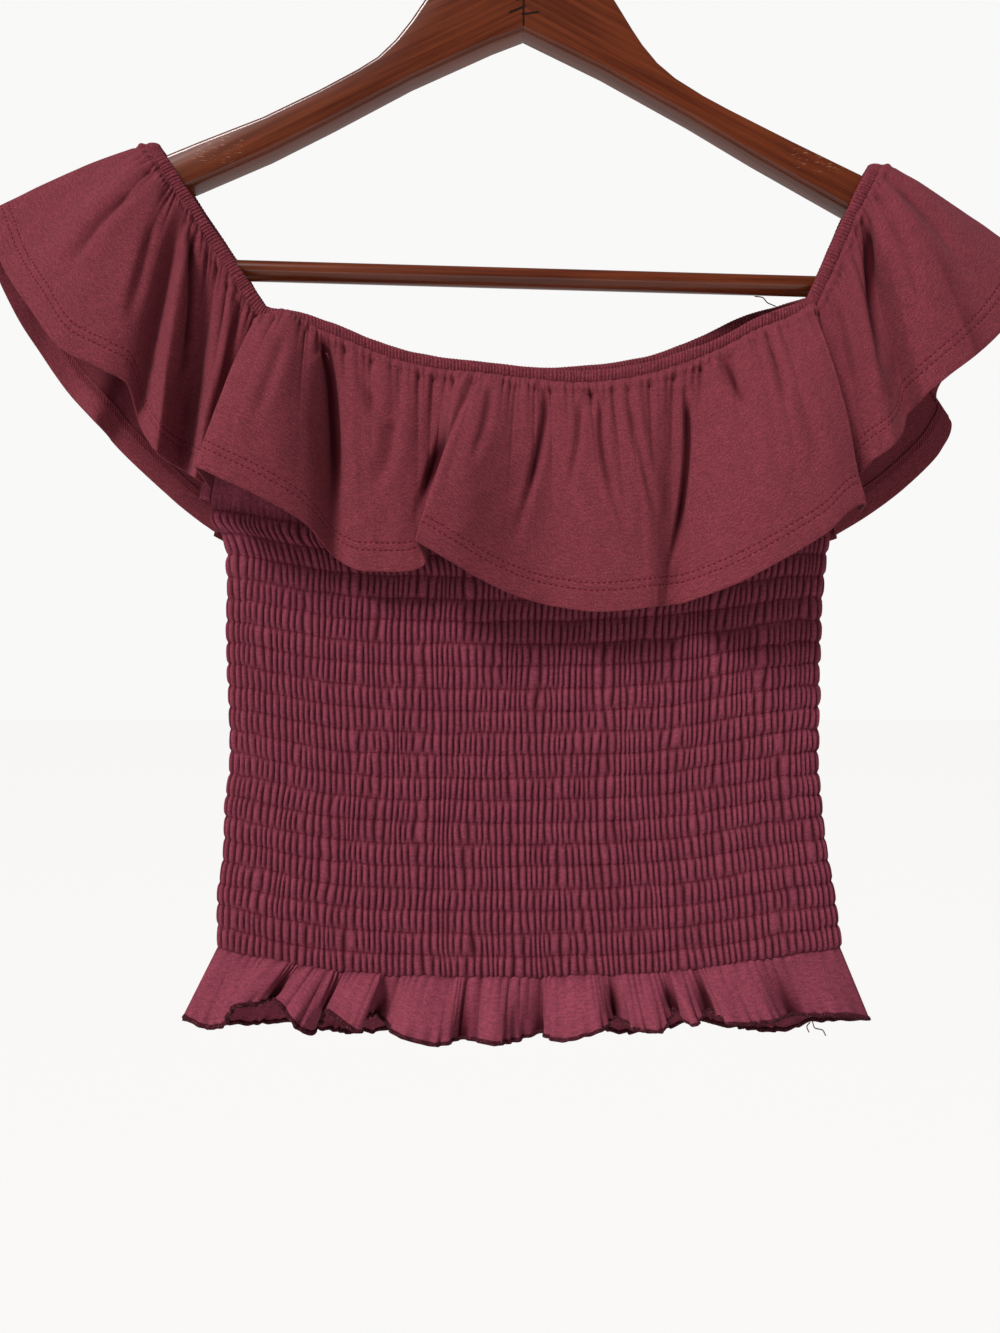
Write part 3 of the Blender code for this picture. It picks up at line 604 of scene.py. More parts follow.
def jersey_finish(name, colour, hollow_shade=0.45, stitches=(), shirring=0.0):
    """Cotton jersey: fine slanting wales, heathered yarn, painted shade in the hollows, and rows of
    stitches darkened as painted shade in their grooves.
    """
    jersey = Finish(name, Roughness=0.95, Sheen_Weight=0.03, Sheen_Roughness=0.5,
                    Sheen_Tint=(1.0, 0.6, 0.65, 1.0), Specular_IOR_Level=0.06)
    cloth = jersey.cloth()
    along, down, _ = jersey.parts(cloth)
    relief = jersey.add("ShaderNodeAttribute", {"attribute_name": "relief"}, out=2)
    wales = jersey.wave(along + down * 0.75, WALE_PITCH) * 0.5 + 0.5
    courses = jersey.wave(along - down * 1.6, COURSE_PITCH) * 0.5 + 0.5
    yarn = jersey.noise(cloth, 1500.0, 4.0, 0.75)
    patches = jersey.noise(cloth, 110.0, 4.0, 0.6)
    streaks = jersey.noise(jersey.add("ShaderNodeMapping", {}, Vector=cloth, Rotation=(0.0, 0.0, 0.4),
                                      Scale=(300.0, 900.0, 1.0)), 1.0, 4.0, 0.75)
    tone = jersey.mix(patches.over(0.25, 0.75), shade(colour, 0.86), shade(colour, 1.10))
    tone = jersey.mix(streaks.over(0.40, 0.62) * 0.75, tone, shade(colour, 0.58))
    tone = jersey.mix(wales * 0.30, tone, shade(colour, 0.55))
    tone = jersey.mix(yarn.over(0.50, 0.70) * 0.32, tone, (0.42, 0.17, 0.19, 1.0))
    # Painted shade: the cloth turns towards a near-black wine where the mesh's shade values are low, in
    # creases, in valleys and between gathers and ribs
    tone = jersey.mix(relief.over(-0.05, 0.75), shade((0.050, 0.004, 0.008), 1.0 - hollow_shade * 0.6), tone)
    height = wales * 0.45 + courses * 0.15 + yarn * 0.6
    # Twin-needle stitches in the dark thread red, partly thread and partly painted shade in their
    # grooves
    for row in stitches:
        offset = jersey.absolute(down + row * MM)
        line = 1.0 - offset.over(0.00015, 0.0004)
        dash = jersey.wave(along, STITCH_PITCH).over(-0.25, 0.25)
        tone = jersey.mix(line * dash, tone, (*STITCH_SHADE_RED, 1.0))
        height = height - (1.0 - offset.over(0.0002, 0.0010)) * 1.4
    if stitches:
        # Coverstitch loops on the inside of the hem in the same dark thread red, partly thread and
        # partly painted shade
        covered = 1.0 - jersey.absolute(down - COVERED_AT).over(0.0011, 0.0016)
        looped = jersey.wave(along + down * 0.7, 0.0017).over(-0.3, 0.5)
        tone = jersey.mix(covered * looped * 0.75, tone, (*STITCH_SHADE_RED, 1.0))
        height = height + covered * looped * 1.5
    # Rows of elastic stitching in the dark thread red, partly thread and partly painted shade in the
    # grooves between the puffs
    if shirring:
        offset = jersey.math("PINGPONG", down / shirring, 0.5)
        line = 1.0 - offset.over(0.012, 0.045)
        dash = jersey.wave(along, ELASTIC_STITCH).over(-0.6, 0.2)
        tone = jersey.mix(line * dash * 0.8, tone, (*STITCH_SHADE_RED, 1.0))
    jersey.to("Base Color", tone)
    jersey.to("Normal", jersey.raised(height, 0.00010))
    return jersey.material


def lacquer_finish():
    """Glossy red-brown lacquer over fine straight grain, scratched and chipped where it was rubbed."""
    wood = Finish("lacquered_wood", Coat_Weight=0.10, Coat_Roughness=0.10, Specular_IOR_Level=0.25)
    board = wood.cloth()
    grain = wood.noise(wood.add("ShaderNodeMapping", {}, Vector=board, Scale=(12.0, 420.0, 1.0)),
                       1.0, 5.0, 0.65)
    cloudy = wood.noise(wood.add("ShaderNodeMapping", {}, Vector=board, Scale=(14.0, 60.0, 1.0)),
                        1.0, 2.0)
    tone = wood.mix(grain.over(0.3, 0.72), (0.055, 0.0085, 0.0025, 1.0), (0.125, 0.024, 0.0065, 1.0))
    tone = wood.mix(cloudy.over(0.45, 0.8) * 0.5, tone, (0.165, 0.036, 0.010, 1.0))
    place = wood.place()
    x, _, z = wood.parts(place)
    scores = wood.noise(wood.add("ShaderNodeMapping", {}, Vector=place, Rotation=(0.0, 0.12, 0.0),
                                 Scale=(260.0, 1.0, 2600.0)), 1.0, 1.0)
    rubbed = scores.over(0.63, 0.70) * (wood.near(x, z, -0.140, -0.159, 0.017, 0.008)
                                        + wood.near(x, z, 0.132, -0.163, 0.020, 0.008))
    chips = wood.noise(place, 700.0, 2.0).over(0.56, 0.60) * wood.beside(
        x, z, (0.047, -0.1015), (0.071, -0.1265), 0.0016)
    tone = wood.mix(rubbed * 0.55, tone, (0.45, 0.26, 0.17, 1.0))
    tone = wood.mix(chips, tone, (0.62, 0.47, 0.33, 1.0))
    joint = wood.beside(x, z, (-0.003, -0.058), (-0.003, -0.104), 0.0006)
    for start, end in (((-0.009, -0.0985), (-0.0025, -0.0960)), ((-0.0035, -0.0995), (0.0035, -0.0985)),
                       ((-0.006, -0.0930), (-0.001, -0.0925))):
        joint = joint + wood.beside(x, z, start, end, 0.0007)
    tone = wood.mix(joint.over(0.2, 0.8) * 0.9, tone, (0.006, 0.002, 0.001, 1.0))
    wood.to("Base Color", tone)
    wood.to("Roughness", grain * 0.10 + chips * 0.4 + 0.20)
    wood.to("Normal", wood.raised(grain - chips * 2.0, 0.00001))
    return wood.material


def steel_finish():
    steel = Finish("polished_steel", Base_Color=(0.62, 0.62, 0.64, 1.0), Metallic=1.0)
    drawn = steel.noise(steel.place(), 900.0, 3.0)
    steel.to("Roughness", drawn * 0.15 + 0.14)
    return steel.material


flounce_cloth = jersey_finish("wine_jersey_flounce", WINE, stitches=TWIN_NEEDLES)
plain_cloth = jersey_finish("wine_jersey", SHIRRED_WINE)
shirred_cloth = jersey_finish("wine_jersey_shirred", SHIRRED_WINE, hollow_shade=0.6, shirring=0.010)
casing_cloth = jersey_finish("wine_elastic_casing", WINE, hollow_shade=0.8)
edge_thread = jersey_finish("wine_overlock_thread", (0.045, 0.006, 0.011), hollow_shade=0.9)
lacquer = lacquer_finish()
steel = steel_finish()


# Neck casing

def casing_lines():
    """Middle line of each neck casing and its direction towards the hem, mitred at the corners."""
    tops = {}
    downs = {}
    for side, table, depth in (("front", CASING_FRONT, 1.0), ("back", CASING_BACK, -1.0)):
        middle = np.sin(math.pi * np.linspace(0, 1, len(table)))
        tops[side] = spline([seen(*place, depth * (9.5 + 1.5 * deep))
                             for place, deep in zip(table, middle)], LINE_POINTS)
        downs[side] = np.tile([0.0, 0.0, -1.0], (LINE_POINTS, 1))
    for side, table, away in (("left", CASING_LEFT, -1.0), ("right", CASING_RIGHT, 1.0)):
        top = spline([seen(*row) for row in table], LINE_POINTS)
        tangent = np.gradient(top, axis=0)
        level = np.clip(1.0 - (top[:, 1] / 10.0) ** 2, 0.0, 1.0)
        facing = np.stack([np.zeros(LINE_POINTS), top[:, 1], 4.0 * np.sqrt(level)], axis=1)
        down = unit(np.cross(tangent, facing))
        tops[side] = top
        downs[side] = down * np.sign(down[:, :1] * away)
    corners = {"front": ("left", 0, "right", 0), "back": ("left", -1, "right", -1),
               "left": ("front", 0, "back", 0), "right": ("front", -1, "back", -1)}
    lines = {}
    for side, top in tops.items():
        start, start_end, finish, finish_end = corners[side]
        far = lengths(top)
        near_start = 0.5 * np.exp(-far / MITRE_REACH)[:, None]
        near_finish = 0.5 * np.exp(-(far[-1] - far) / MITRE_REACH)[:, None]
        down = unit(downs[side] * (1 - near_start - near_finish) + downs[start][start_end] * near_start
                    + downs[finish][finish_end] * near_finish)
        lines[side] = (top + down * CASING_WIDTH / 2, down)
    return lines


casings = casing_lines()


def lapped(side):
    """A casing's lines, carried a little past both corners so that the pieces lap there."""
    middle, down = casings[side]
    first = middle[0] - unit(middle[1] - middle[0]) * CORNER_LAP
    last = middle[-1] + unit(middle[-1] - middle[-2]) * CORNER_LAP
    return np.concatenate([[first], middle, [last]]), np.concatenate([down[:1], down, down[-1:]])


def neck_casing(side):
    """A tube of cloth drawn up over elastic, in fine uneven ribs."""
    middle, down = lapped(side)
    at = lengths(middle)
    count = 6 * round(at[-1] / RIB_PITCH) + 1
    wanted = np.linspace(GAP / 2, at[-1] - GAP / 2, count)
    path = resample(middle, wanted)
    down = unit(np.stack([np.interp(wanted, at, column) for column in down.T], axis=1))
    turn = wanted / RIB_PITCH + 0.35 * wander(wanted / 4.0, 11)
    rib = np.abs(np.sin(math.pi * turn)) ** 0.7
    swell = 0.55 + 0.45 * rib * (0.8 + 0.2 * wander(wanted / 2.1, 12))
    wide = CASING_TUBE + 0.5 * rib + 0.3 * wander(wanted / 7.0, 13)
    # Painted shade darkens the cloth between the ribs
    return tube(f"casing_{side}", path - down * 0.5, wide, CASING_DEPTH * swell, down, casing_cloth,
                [f"neck_casing_{side}"], around=14, shape=2.2, relief=0.15 + 0.85 * rib)


for side in ("front", "back", "left", "right"):
    neck_casing(side)


# Flounces

def crease_depth(points, creases):
    """How far the listed creases press the cloth in, measured on the hanger's plane as it is seen."""
    depth = np.zeros(points.shape[:2])
    toward = -EYE[1] / (points[:, :, 1] - EYE[1])
    across = EYE[0] + (points[:, :, 0] - EYE[0]) * toward
    down = -(EYE[2] + (points[:, :, 2] - EYE[2]) * toward)
    for a, b, c, d, e, f, wide, deep in creases:
        t = np.linspace(0.0, 1.0, 110)
        line_across = a * (1 - t) * (1 - 2 * t) + c * 4 * t * (1 - t) + e * t * (2 * t - 1)
        line_down = b * (1 - t) * (1 - 2 * t) + d * 4 * t * (1 - t) + f * t * (2 * t - 1)
        nearest = np.full(depth.shape, 1e9)
        fade = np.zeros(depth.shape)
        for x, z, share in zip(line_across, line_down, t):
            off = (across - x) ** 2 + (down - z) ** 2
            closer = off < nearest
            nearest = np.where(closer, off, nearest)
            fade = np.where(closer, min(1.0, 5.0 * share + 0.3, 3.0 * (1.0 - share)), fade)
        ridge = np.exp(-(np.sqrt(nearest) / (2.4 * wide)) ** 2)
        trough = np.exp(-nearest / wide ** 2)
        depth += deep * fade * (trough - 0.45 * ridge)
    return depth


def flounce(side, folds, creases, facing_of, lap, under, rise, columns, rows, seed, flip):
    """A gathered fall of cloth from the casing to a turned and stitched hem. lap says whether its
    ends pass over or under its neighbours, under how much painted shadow darkens its far half, where
    its front half shades it, and rise lists where its top rides up: place, reach and height."""
    folds = np.array(folds)
    hems = np.array([seen(a, d, o) for a, d, o in folds[:, 1:4]])
    fine = np.linspace(0.0, 1.0, 4000)
    hem_run = lengths(smooth(folds[:, 0], hems, fine))
    places = np.interp(np.linspace(0.0, 1.0, columns), 0.5 * (hem_run / hem_run[-1] + fine), fine)
    middle, down = lapped(side)
    at = lengths(middle)
    wanted = 0.4 + (at[-1] - 0.8) * places
    neck = np.stack([np.interp(wanted, at, column) for column in middle.T], axis=1)
    drop = unit(np.stack([np.interp(wanted, at, column) for column in down.T], axis=1))
    hem = smooth(folds[:, 0], hems, places)
    bow = smooth(folds[:, 0], folds[:, 4], places)
    facing = facing_of(places)
    from_end = np.minimum(places, 1.0 - places)
    proud = LAP * np.where(from_end < LAP_REACH, lap + (1 - lap) * from_end / LAP_REACH, 1.0)
    lifted = np.zeros(columns)
    for middle_place, reach, high in rise:
        lifted += high * np.exp(-((places - middle_place) / reach) ** 2)
    top = (neck + drop * (CASING_WIDTH / 2 - TUCKED - lifted)[:, None]
           + facing * (proud + 0.6 * lifted)[:, None])
    fall = np.linalg.norm(hem - top, axis=1)
    v = (np.linspace(0.0, 1.0, rows) ** FALL_POWER)[:, None]
    base = (top[None] + (hem - top)[None] * v[:, :, None]
            + facing[None] * (bow[None] * np.sin(math.pi * v ** 0.8))[:, :, None])
    outwards = outward(base, facing)
    s = v * fall[None]
    wide_count = (wanted / WIDE_GATHER + 0.55 * wander(wanted / 17.0, seed))[None]
    wide_gather = np.abs(np.sin(math.pi * wide_count)) ** 0.6
    small_count = (wanted / SMALL_GATHER + 0.6 * wander(wanted / 6.5, seed + 1))[None]
    small_gather = np.abs(np.sin(math.pi * small_count)) ** 0.8
    fine_count = (wanted / FINE_GATHER + 0.4 * wander(wanted / 3.0, seed + 2))[None]
    fine_gather = np.abs(np.sin(math.pi * fine_count))
    uneven = 0.7 + 0.3 * wander(np.floor(wide_count) * 1.7 + 0.2, seed + 3)
    reach = 22.0 + 13.0 * wander(np.floor(wide_count) * 2.3 + 0.4, seed + 4)
    pressed = crease_depth(base, creases)
    band = np.exp(-((s - 3.0) / 1.6) ** 2)
    pinch = np.exp(-((s - 5.7) / 1.1) ** 2)
    across = np.broadcast_to(wanted, s.shape)
    below_casing = np.clip((s - 2.0) / 3.5, 0.0, 1.0)
    lift = (4.6 * (wide_gather - 0.62) * uneven * np.exp(-s / reach) * below_casing
            + 2.0 * (small_gather - 0.5) * np.exp(-s / 8.0) * np.clip(s / 4.0, 0.25, 1.0)
            + band * (0.2 + 0.7 * fine_gather) - 0.35 * pinch
            + 0.9 * v * wander_over(across / 15.0, s / 26.0, seed + 5)
            + 0.30 * v * wander_over(across / 4.5, s / 9.0, seed + 6)) - 1.25 * pressed
    front = base + outwards * lift[:, :, None]
    outwards = outward(front, facing)
    sideways = np.clip(3.0 * np.abs(facing[:, 1]) - 2.0, 0.0, 1.0)
    # Painted shade for the cloth's colour: darker at the pinch, between fine gathers, in creases and in
    # the valleys of the side flounces, with less shade on gathers lifted near the casing. A painted
    # shadow falls over the far half of the side flounces, where their front half shades them
    hollow_shade = (0.90 + 0.34 * lift * np.exp(-s / 50.0) - 0.10 * pinch + 0.5 * band * (fine_gather - 0.9)
              - 0.16 * np.clip(pressed, 0.0, None)
              - 0.70 * valley(front, facing[None], columns // 16, 6.0) * sideways
              - under * np.clip((places - 0.5) / 0.08, 0.0, 1.0)[None] * v)
    down_way = unit(front[-1] - front[-3])
    turn = []
    for step in range(1, 5):
        angle = math.pi * step / 5
        turn.append(front[-1] + down_way * (HEM_ROUND * math.sin(angle))
                    - outwards[-1] * (HEM_ROUND * (1.0 - math.cos(angle))))
    back_of_hem = []
    turned = np.linspace(0.0, HEM_TURN, 9)
    for back in turned:
        row = np.clip(1.0 - back / fall, 0.0, 1.0) ** (1 / FALL_POWER) * (rows - 1)
        low = np.clip(np.floor(row).astype(int), 0, rows - 2)
        part = (row - low)[:, None]
        column = np.arange(columns)
        point = front[low, column] * (1 - part) + front[low + 1, column] * part
        way = unit(outwards[low, column] * (1 - part) + outwards[low + 1, column] * part)
        back_of_hem.append(point - way * (2 * HEM_ROUND))
    points = np.concatenate([front, np.array(turn), np.array(back_of_hem)])
    share = np.concatenate([v[:, 0], np.ones(13)])[:, None]
    hem_far = lengths(front[-1])
    along = wanted * hem_far[-1] / wanted[-1] * (1 - share) + hem_far * share
    below = np.concatenate([s - fall[None], np.arange(1, 5)[:, None] * 0.28 + np.zeros((1, columns)),
                            turned[:, None] + 1.4 + np.zeros((1, columns))])
    relief = np.concatenate([hollow_shade, np.ones((13, columns))])
    mesh = grid_mesh(f"flounce_{side}_cloth", points, along, below, relief, flip=flip)
    piece = finish_piece(f"flounce_{side}_cloth", mesh, flounce_cloth, [f"flounce_{side}"])
    length = float(np.mean(fall)) + HEM_TURN + SHEET_HEM
    grid_area(points) / length * MM


def valley(points, facing, reach, deep):
    """0 on open cloth, and up to 1 where it lies deep below the folds on either side: how deep the
    painted shade in a valley goes.
    """
    out = np.sum(points * facing, axis=2)
    window = np.hanning(2 * reach + 1)
    window /= window.sum()
    padded = np.pad(out, ((0, 0), (reach, reach)), mode="edge")
    around = np.stack([np.convolve(row, window, mode="valid") for row in padded])
    return np.clip((around - out) / deep, 0.0, 1.0)


def grid_area(points):
    """Surface of a grid of points, in square millimetres."""
    a = points[1:, 1:] - points[:-1, :-1]
    b = points[1:, :-1] - points[:-1, 1:]
    return float(np.sum(np.linalg.norm(np.cross(a, b), axis=2)) / 2)


def facing_front(places):
    return np.tile([0.0, -1.0, 0.0], (len(places), 1))


def facing_back(places):
    return np.tile([0.0, 1.0, 0.0], (len(places), 1))


def facing_over(places):
    """Outwards turns from the front, over the arm, to the back."""
    angle = math.pi * np.clip((places - 0.40) / 0.20, 0.0, 1.0)
    return np.stack([np.zeros(len(places)), -np.cos(angle), np.sin(angle)], axis=1)


flounce("front", FOLDS_FRONT, CREASES_FRONT, facing_front, 1.0, 0.0,
        [(0.045, 0.035, 4.5), (1.0, 0.03, 2.5)], 560, 64, 101, False)
flounce("back", FOLDS_BACK, CREASES_BACK, facing_back, 1.0, 0.0, [(0.5, 0.05, 1.0)],
        460, 56, 201, True)
flounce("left", FOLDS_LEFT, CREASES_LEFT, facing_over, -1.0, 0.4, [(0.30, 0.03, 1.0)],
        500, 58, 301, True)
flounce("right", FOLDS_RIGHT, CREASES_RIGHT, facing_over, -1.0, 0.4, [(0.30, 0.03, 1.0)],
        500, 58, 401, False)


# Shirred bodice

def body_section(u, depth_sign, edge_out, left, right, half_depth):
    """A point of the flattened tube's section at u from -1, the left seam, to 1."""
    side = np.abs(np.sin(u * math.pi / 2))
    round_off = np.clip(1.0 - side ** 3.2, 0.0, 1.0) ** (1 / 2.4)
    x = (left + right) / 2 + np.sign(u) * side ** SECTION_POWER * (right - left) / 2
    y = -depth_sign * (edge_out + (half_depth - edge_out) * round_off)
    return x, y


def row_down(u, row):
    """How far down the stitched row lies: all rows sag together in the middle."""
    side = FIRST_ROW_DOWN + (LAST_ROW_DOWN - FIRST_ROW_DOWN) * row / SHIRR_ROWS
    return side + ROW_SAG / (1.0 + np.exp((np.abs(u + 0.06) - 0.48) * 9.0))


def panel(u, level, depth_sign):
    """Points of a bodice panel: level 0 is the neck, YOKE_STEPS the first stitched row."""
    edges = np.array(BODY_EDGES)
    neck_line = casings["front" if depth_sign > 0 else "back"][0]
    yoke = np.clip(level / YOKE_STEPS, 0.0, 1.0)
    row = np.maximum(level - YOKE_STEPS, 0.0)
    side_down = NECK_EDGE_DOWN + (row_down(1.0, row) - NECK_EDGE_DOWN) * yoke
    left = smooth(edges[:, 0], edges[:, 1], side_down.ravel()).reshape(level.shape)
    right = smooth(edges[:, 0], edges[:, 2], side_down.ravel()).reshape(level.shape)
    open_side = np.clip((UNDERARM_DOWN - side_down) / (UNDERARM_DOWN - NECK_EDGE_DOWN), 0.0, 1.0)
    edge_out = SEAM_OUT + ARMHOLE_OUT * open_side ** 0.7
    half_depth = YOKE_OUT + (BODY_HALF_DEPTH - YOKE_OUT) * yoke
    x, y = body_section(u, depth_sign, edge_out, left, right, half_depth)
    neck_z = np.interp(x, neck_line[:, 0], neck_line[:, 2]) - CASING_WIDTH / 2 - GAP
    return np.stack([x, y, neck_z + (-row_down(u, row) - neck_z) * yoke], axis=-1)


def shirred_panel(side, depth_sign, columns, per_row, seed):
    """Uneven gathers puffed between rows of elastic stitching, below a plain yoke."""
    yoke_levels = np.linspace(0.0, YOKE_STEPS, 13)[:-1]
    level = np.concatenate([yoke_levels, YOKE_STEPS + np.arange(SHIRR_ROWS * per_row + 1) / per_row])
    fine = np.linspace(-1.0, 1.0, 4001)
    girth = lengths(panel(fine, np.full(4001, YOKE_STEPS + SHIRR_ROWS / 2.0), depth_sign))
    around = np.interp(np.linspace(0.0, girth[-1], columns), girth, fine)
    u, level = np.meshgrid(around, level)
    wobble = 0.05 * wander_over(u * 14.0, level * 1.0, seed)
    wavy = np.clip(level + wobble * (level > YOKE_STEPS), 0.0, YOKE_STEPS + SHIRR_ROWS)
    points = panel(u, wavy, depth_sign)
    outwards = outward(points, np.array([0.0, -depth_sign, 0.0]))
    row = np.clip(level - YOKE_STEPS, -1.0, None)
    band = np.floor(row)
    inside = row - band
    count = GATHERS_ACROSS * np.broadcast_to(np.linspace(-0.5, 0.5, columns), u.shape)

    def ridges(number):
        phase = (count + 0.8 * wander_over(count / 3.4, number * 0.55 + 3.0, seed + 1)
                 + 0.20 * wander_over(count / 1.4, number * 0.9, seed + 2))
        lean = 0.30 * (inside - 0.5) * wander_over(count / 1.9, number * 1.3 + 7.0, seed + 4)
        return np.abs(np.sin(math.pi * (phase + lean))) ** 0.75

    near_next = np.clip(inside - 0.7, 0.0, 0.3) / 0.6
    near_last = np.clip(0.3 - inside, 0.0, 0.3) / 0.6
    gather = (ridges(band) * (1 - near_next - near_last) + ridges(band + 1) * near_next
              + ridges(band - 1) * near_last)
    puff = np.abs(np.sin(math.pi * inside)) ** 0.38
    uneven = 0.84 + 0.16 * wander_over(count / 1.6, band * 1.7, seed + 3)
    shirred = np.clip((row + 0.6) / 0.6, 0.0, 1.0)
    lift = shirred * (PUFF * (0.05 + 0.95 * gather * uneven) * (0.50 + 0.50 * puff) - 0.35 * (1 - puff))
    at_seam = np.clip((1.0 - np.abs(u)) / 0.06, 0.0, 1.0)
    points = points + outwards * (lift * (0.3 + 0.7 * at_seam))[:, :, None]
    points[:, :, 1] = -depth_sign * np.maximum(-depth_sign * points[:, :, 1], SEAM_OUT)
    # Painted shade: darker between the gathers and in the grooves between the puffs
    relief = 1.0 - shirred * (1.0 - (0.90 * gather ** 1.2 * uneven) * (0.70 + 0.30 * puff))
    along = np.broadcast_to(lengths(points[-1]), u.shape)
    mesh = grid_mesh(f"bodice_{side}_cloth", points, along, level * 10.0, relief, flip=depth_sign < 0)
    piece = finish_piece(f"bodice_{side}_cloth", mesh, shirred_cloth, [f"bodice_{side}"])
    grid_area(points) / BODICE_LENGTH * MM


shirred_panel("front", 1.0, 736, 6, 501)
shirred_panel("back", -1.0, 736, 6, 601)


def armhole_binding(name, side):
    """The bound edge from the front corner, under the arm, to the back corner."""
    beside = np.array([side * (BINDING_WIDTH / 2 + 2 * GAP), 0.0, 0.0])
    levels = np.linspace(0.45, 0.93 * YOKE_STEPS, 6)
    run = []
    for depth_sign in (1.0, -1.0):
        half = panel(np.full(6, side), levels, depth_sign) + beside
        run.append(half if depth_sign > 0 else half[::-1])
    path = spline(np.concatenate(run), 160)
    far = lengths(path)
    wide = np.tile([side, 0.0, 0.25], (len(path), 1))
    tube(f"binding_{name}", path, BINDING_WIDTH, 1.5 + 0.15 * wander(far / 3.0, 17), wide, plain_cloth,
         [f"armhole_binding_{name}"], around=12, shape=3.0)


armhole_binding("left", -1.0)
armhole_binding("right", 1.0)


# Hem ruffle

def hem_ruffle(side, depth_sign, folds, columns, rows, seed):
    """The frill below the last stitched row, with a stretched, overlocked edge."""
    swing = 2.0 if depth_sign > 0 else 1.3
    hems = np.array([seen(a, d, o * swing - depth_sign * 12.0 * (swing - 1.0) * (abs(o) > 8.0))
                     for a, d, o in folds])
    at = np.linspace(0.0, len(hems) - 1.0, columns)
    hem = smooth(np.arange(len(hems)), hems, at)
    left, right = BODY_EDGES[-1][1:]
    share = (hem[:, 0] - (hem[0, 0] + hem[-1, 0]) / 2) * 2 / (hem[-1, 0] - hem[0, 0])
    share = np.clip(share, -1.0, 1.0)
    u = np.sign(share) * np.arcsin(np.abs(share) ** (1 / SECTION_POWER)) * 2 / math.pi
    x, y = body_section(u, depth_sign, 0.75, left + 0.8, right - 0.8, BODY_HALF_DEPTH - 1.2)
    top = np.stack([x, y, -row_down(u, SHIRR_ROWS) + 2.0], axis=1)
    bow = np.sin(math.pi * at / at[-1])
    v = np.linspace(0.0, 1.0, rows)[:, None]
    base = top[None] + (hem - top)[None] * (v ** 1.15)[:, :, None]
    base[:, :, 1] -= depth_sign * 1.5 * np.sin(math.pi * v) * bow[None]
    facing = np.array([0.0, -depth_sign, 0.0])
    outwards = outward(base, facing)
    far = lengths(hem)
    gathers = (np.abs(np.sin(math.pi * (far / RUFFLE_GATHER + 0.9 * wander(far / 9.0, seed)))) ** 0.6
               * (0.65 + 0.35 * wander(far / 5.0, seed + 6)))[None]
    falls = np.abs(np.sin(math.pi * (far / RUFFLE_FOLD + 0.9 * wander(far / 26.0, seed + 5)))) ** 0.6
    falls = falls[None]
    lettuce = np.cos(2 * math.pi * (far / RUFFLE_CURL + 0.5 * wander(far / 10.0, seed + 1)))[None]
    below_seam = np.clip(v * 12.0 - 0.8, 0.0, 1.0)
    uneven = wander_over(far / 9.0 + 0 * v, v * 34.0 / 12.0 + 0 * far, seed + 2)
    lift = bow[None] ** 0.3 * (2.6 * gathers * below_seam * np.exp(-v * 34.0 / 13.0)
                               + 2.0 * (falls - 0.5) * v ** 0.5 + 1.1 * lettuce * v ** 5
                               + 0.5 * v * uneven)
    points = base + outwards * lift[:, :, None]
    points[:, :, 1] = -depth_sign * np.maximum(-depth_sign * points[:, :, 1], 0.2)
    along, down = cloth_places(points)
    # Painted shade: darker between the gathers, just below the seam under the shirred body, and in the
    # valleys of the folds
    relief = (0.80 - 0.65 * (0.8 - gathers) * np.exp(-v * 3.0) - 0.4 * np.exp(-(v / 0.10) ** 2)
              - valley(points, facing, columns // 22, 5.0))
    mesh = grid_mesh(f"ruffle_{side}_cloth", points, along, down, relief, flip=depth_sign < 0)
    piece = finish_piece(f"ruffle_{side}_cloth", mesh, plain_cloth, [f"hem_ruffle_{side}"])
    grid_area(points) / RUFFLE_DEPTH * MM
    edge = points[-1]
    count = int(lengths(edge)[-1] / OVERLOCK_STEP)
    path = resample(edge, np.linspace(0.0, lengths(edge)[-1], count))
    rim = unit(resample(points[-3] - points[-1] + edge, np.linspace(0.0, 1.0, count)
                        * lengths(points[-3] - points[-1] + edge)[-1]) - path)
    walk = lengths(path)
    rib = np.abs(np.sin(math.pi * (walk / OVERLOCK_PITCH + 0.2 * wander(walk / 2.0, seed + 3))))
    # Painted shade darkens the thread between the ribs of the overlock
    tube(f"overlock_{side}", path + rim * 0.9, 2.0 + 0.4 * rib, 1.0 + 0.6 * rib, rim, edge_thread,
         [], around=8, shape=2.5, relief=0.2 + 0.8 * rib)


back_folds = []
for step in range(2 * RUFFLE_WAVES_BACK + 1):
    place = step / (2 * RUFFLE_WAVES_BACK)
    ridge = step % 2
    at_side = min(1.0, 6.0 * min(place, 1.0 - place))
    out = -(0.6 + at_side * (10.5 + 7.5 * ridge + 1.5 * math.sin(3.7 * step)))
    down = 548.0 + at_side * (RUFFLE_BACK_DOWN - 548.0 + 1.5 * ridge + 3.0 * math.sin(1.3 * step))
    across = -156.5 + 309.5 * (place + 0.006 * math.sin(5.1 * step) * at_side)
    back_folds.append((across, down, out))
hem_ruffle("front", 1.0, RUFFLE_FRONT, 760, 26, 701)
hem_ruffle("back", -1.0, back_folds, 620, 26, 801)


# Loose ends of sewing thread

def loose_thread(name, points):
    path = spline([seen(*point) for point in points], 40)
    tube(name, path, 0.5, 0.5, np.tile([0.3, 1.0, 0.2], (40, 1)), edge_thread, [], around=6)


loose_thread("thread_corner_long", [(110.5, 227.0, 12.5), (107.0, 225.5, 13.5), (104.5, 223.0, 13.5),
                                    (101.0, 222.5, 13.0)])
loose_thread("thread_hem_long", [(127.0, 548.5, 9.0), (128.0, 551.5, 9.6), (131.5, 552.5, 9.8),
                                 (133.0, 555.0, 9.4)])
loose_thread("thread_hem_short", [(126.0, 549.0, 9.0), (124.5, 551.0, 9.8), (125.5, 553.5, 9.9)])


# Hanger

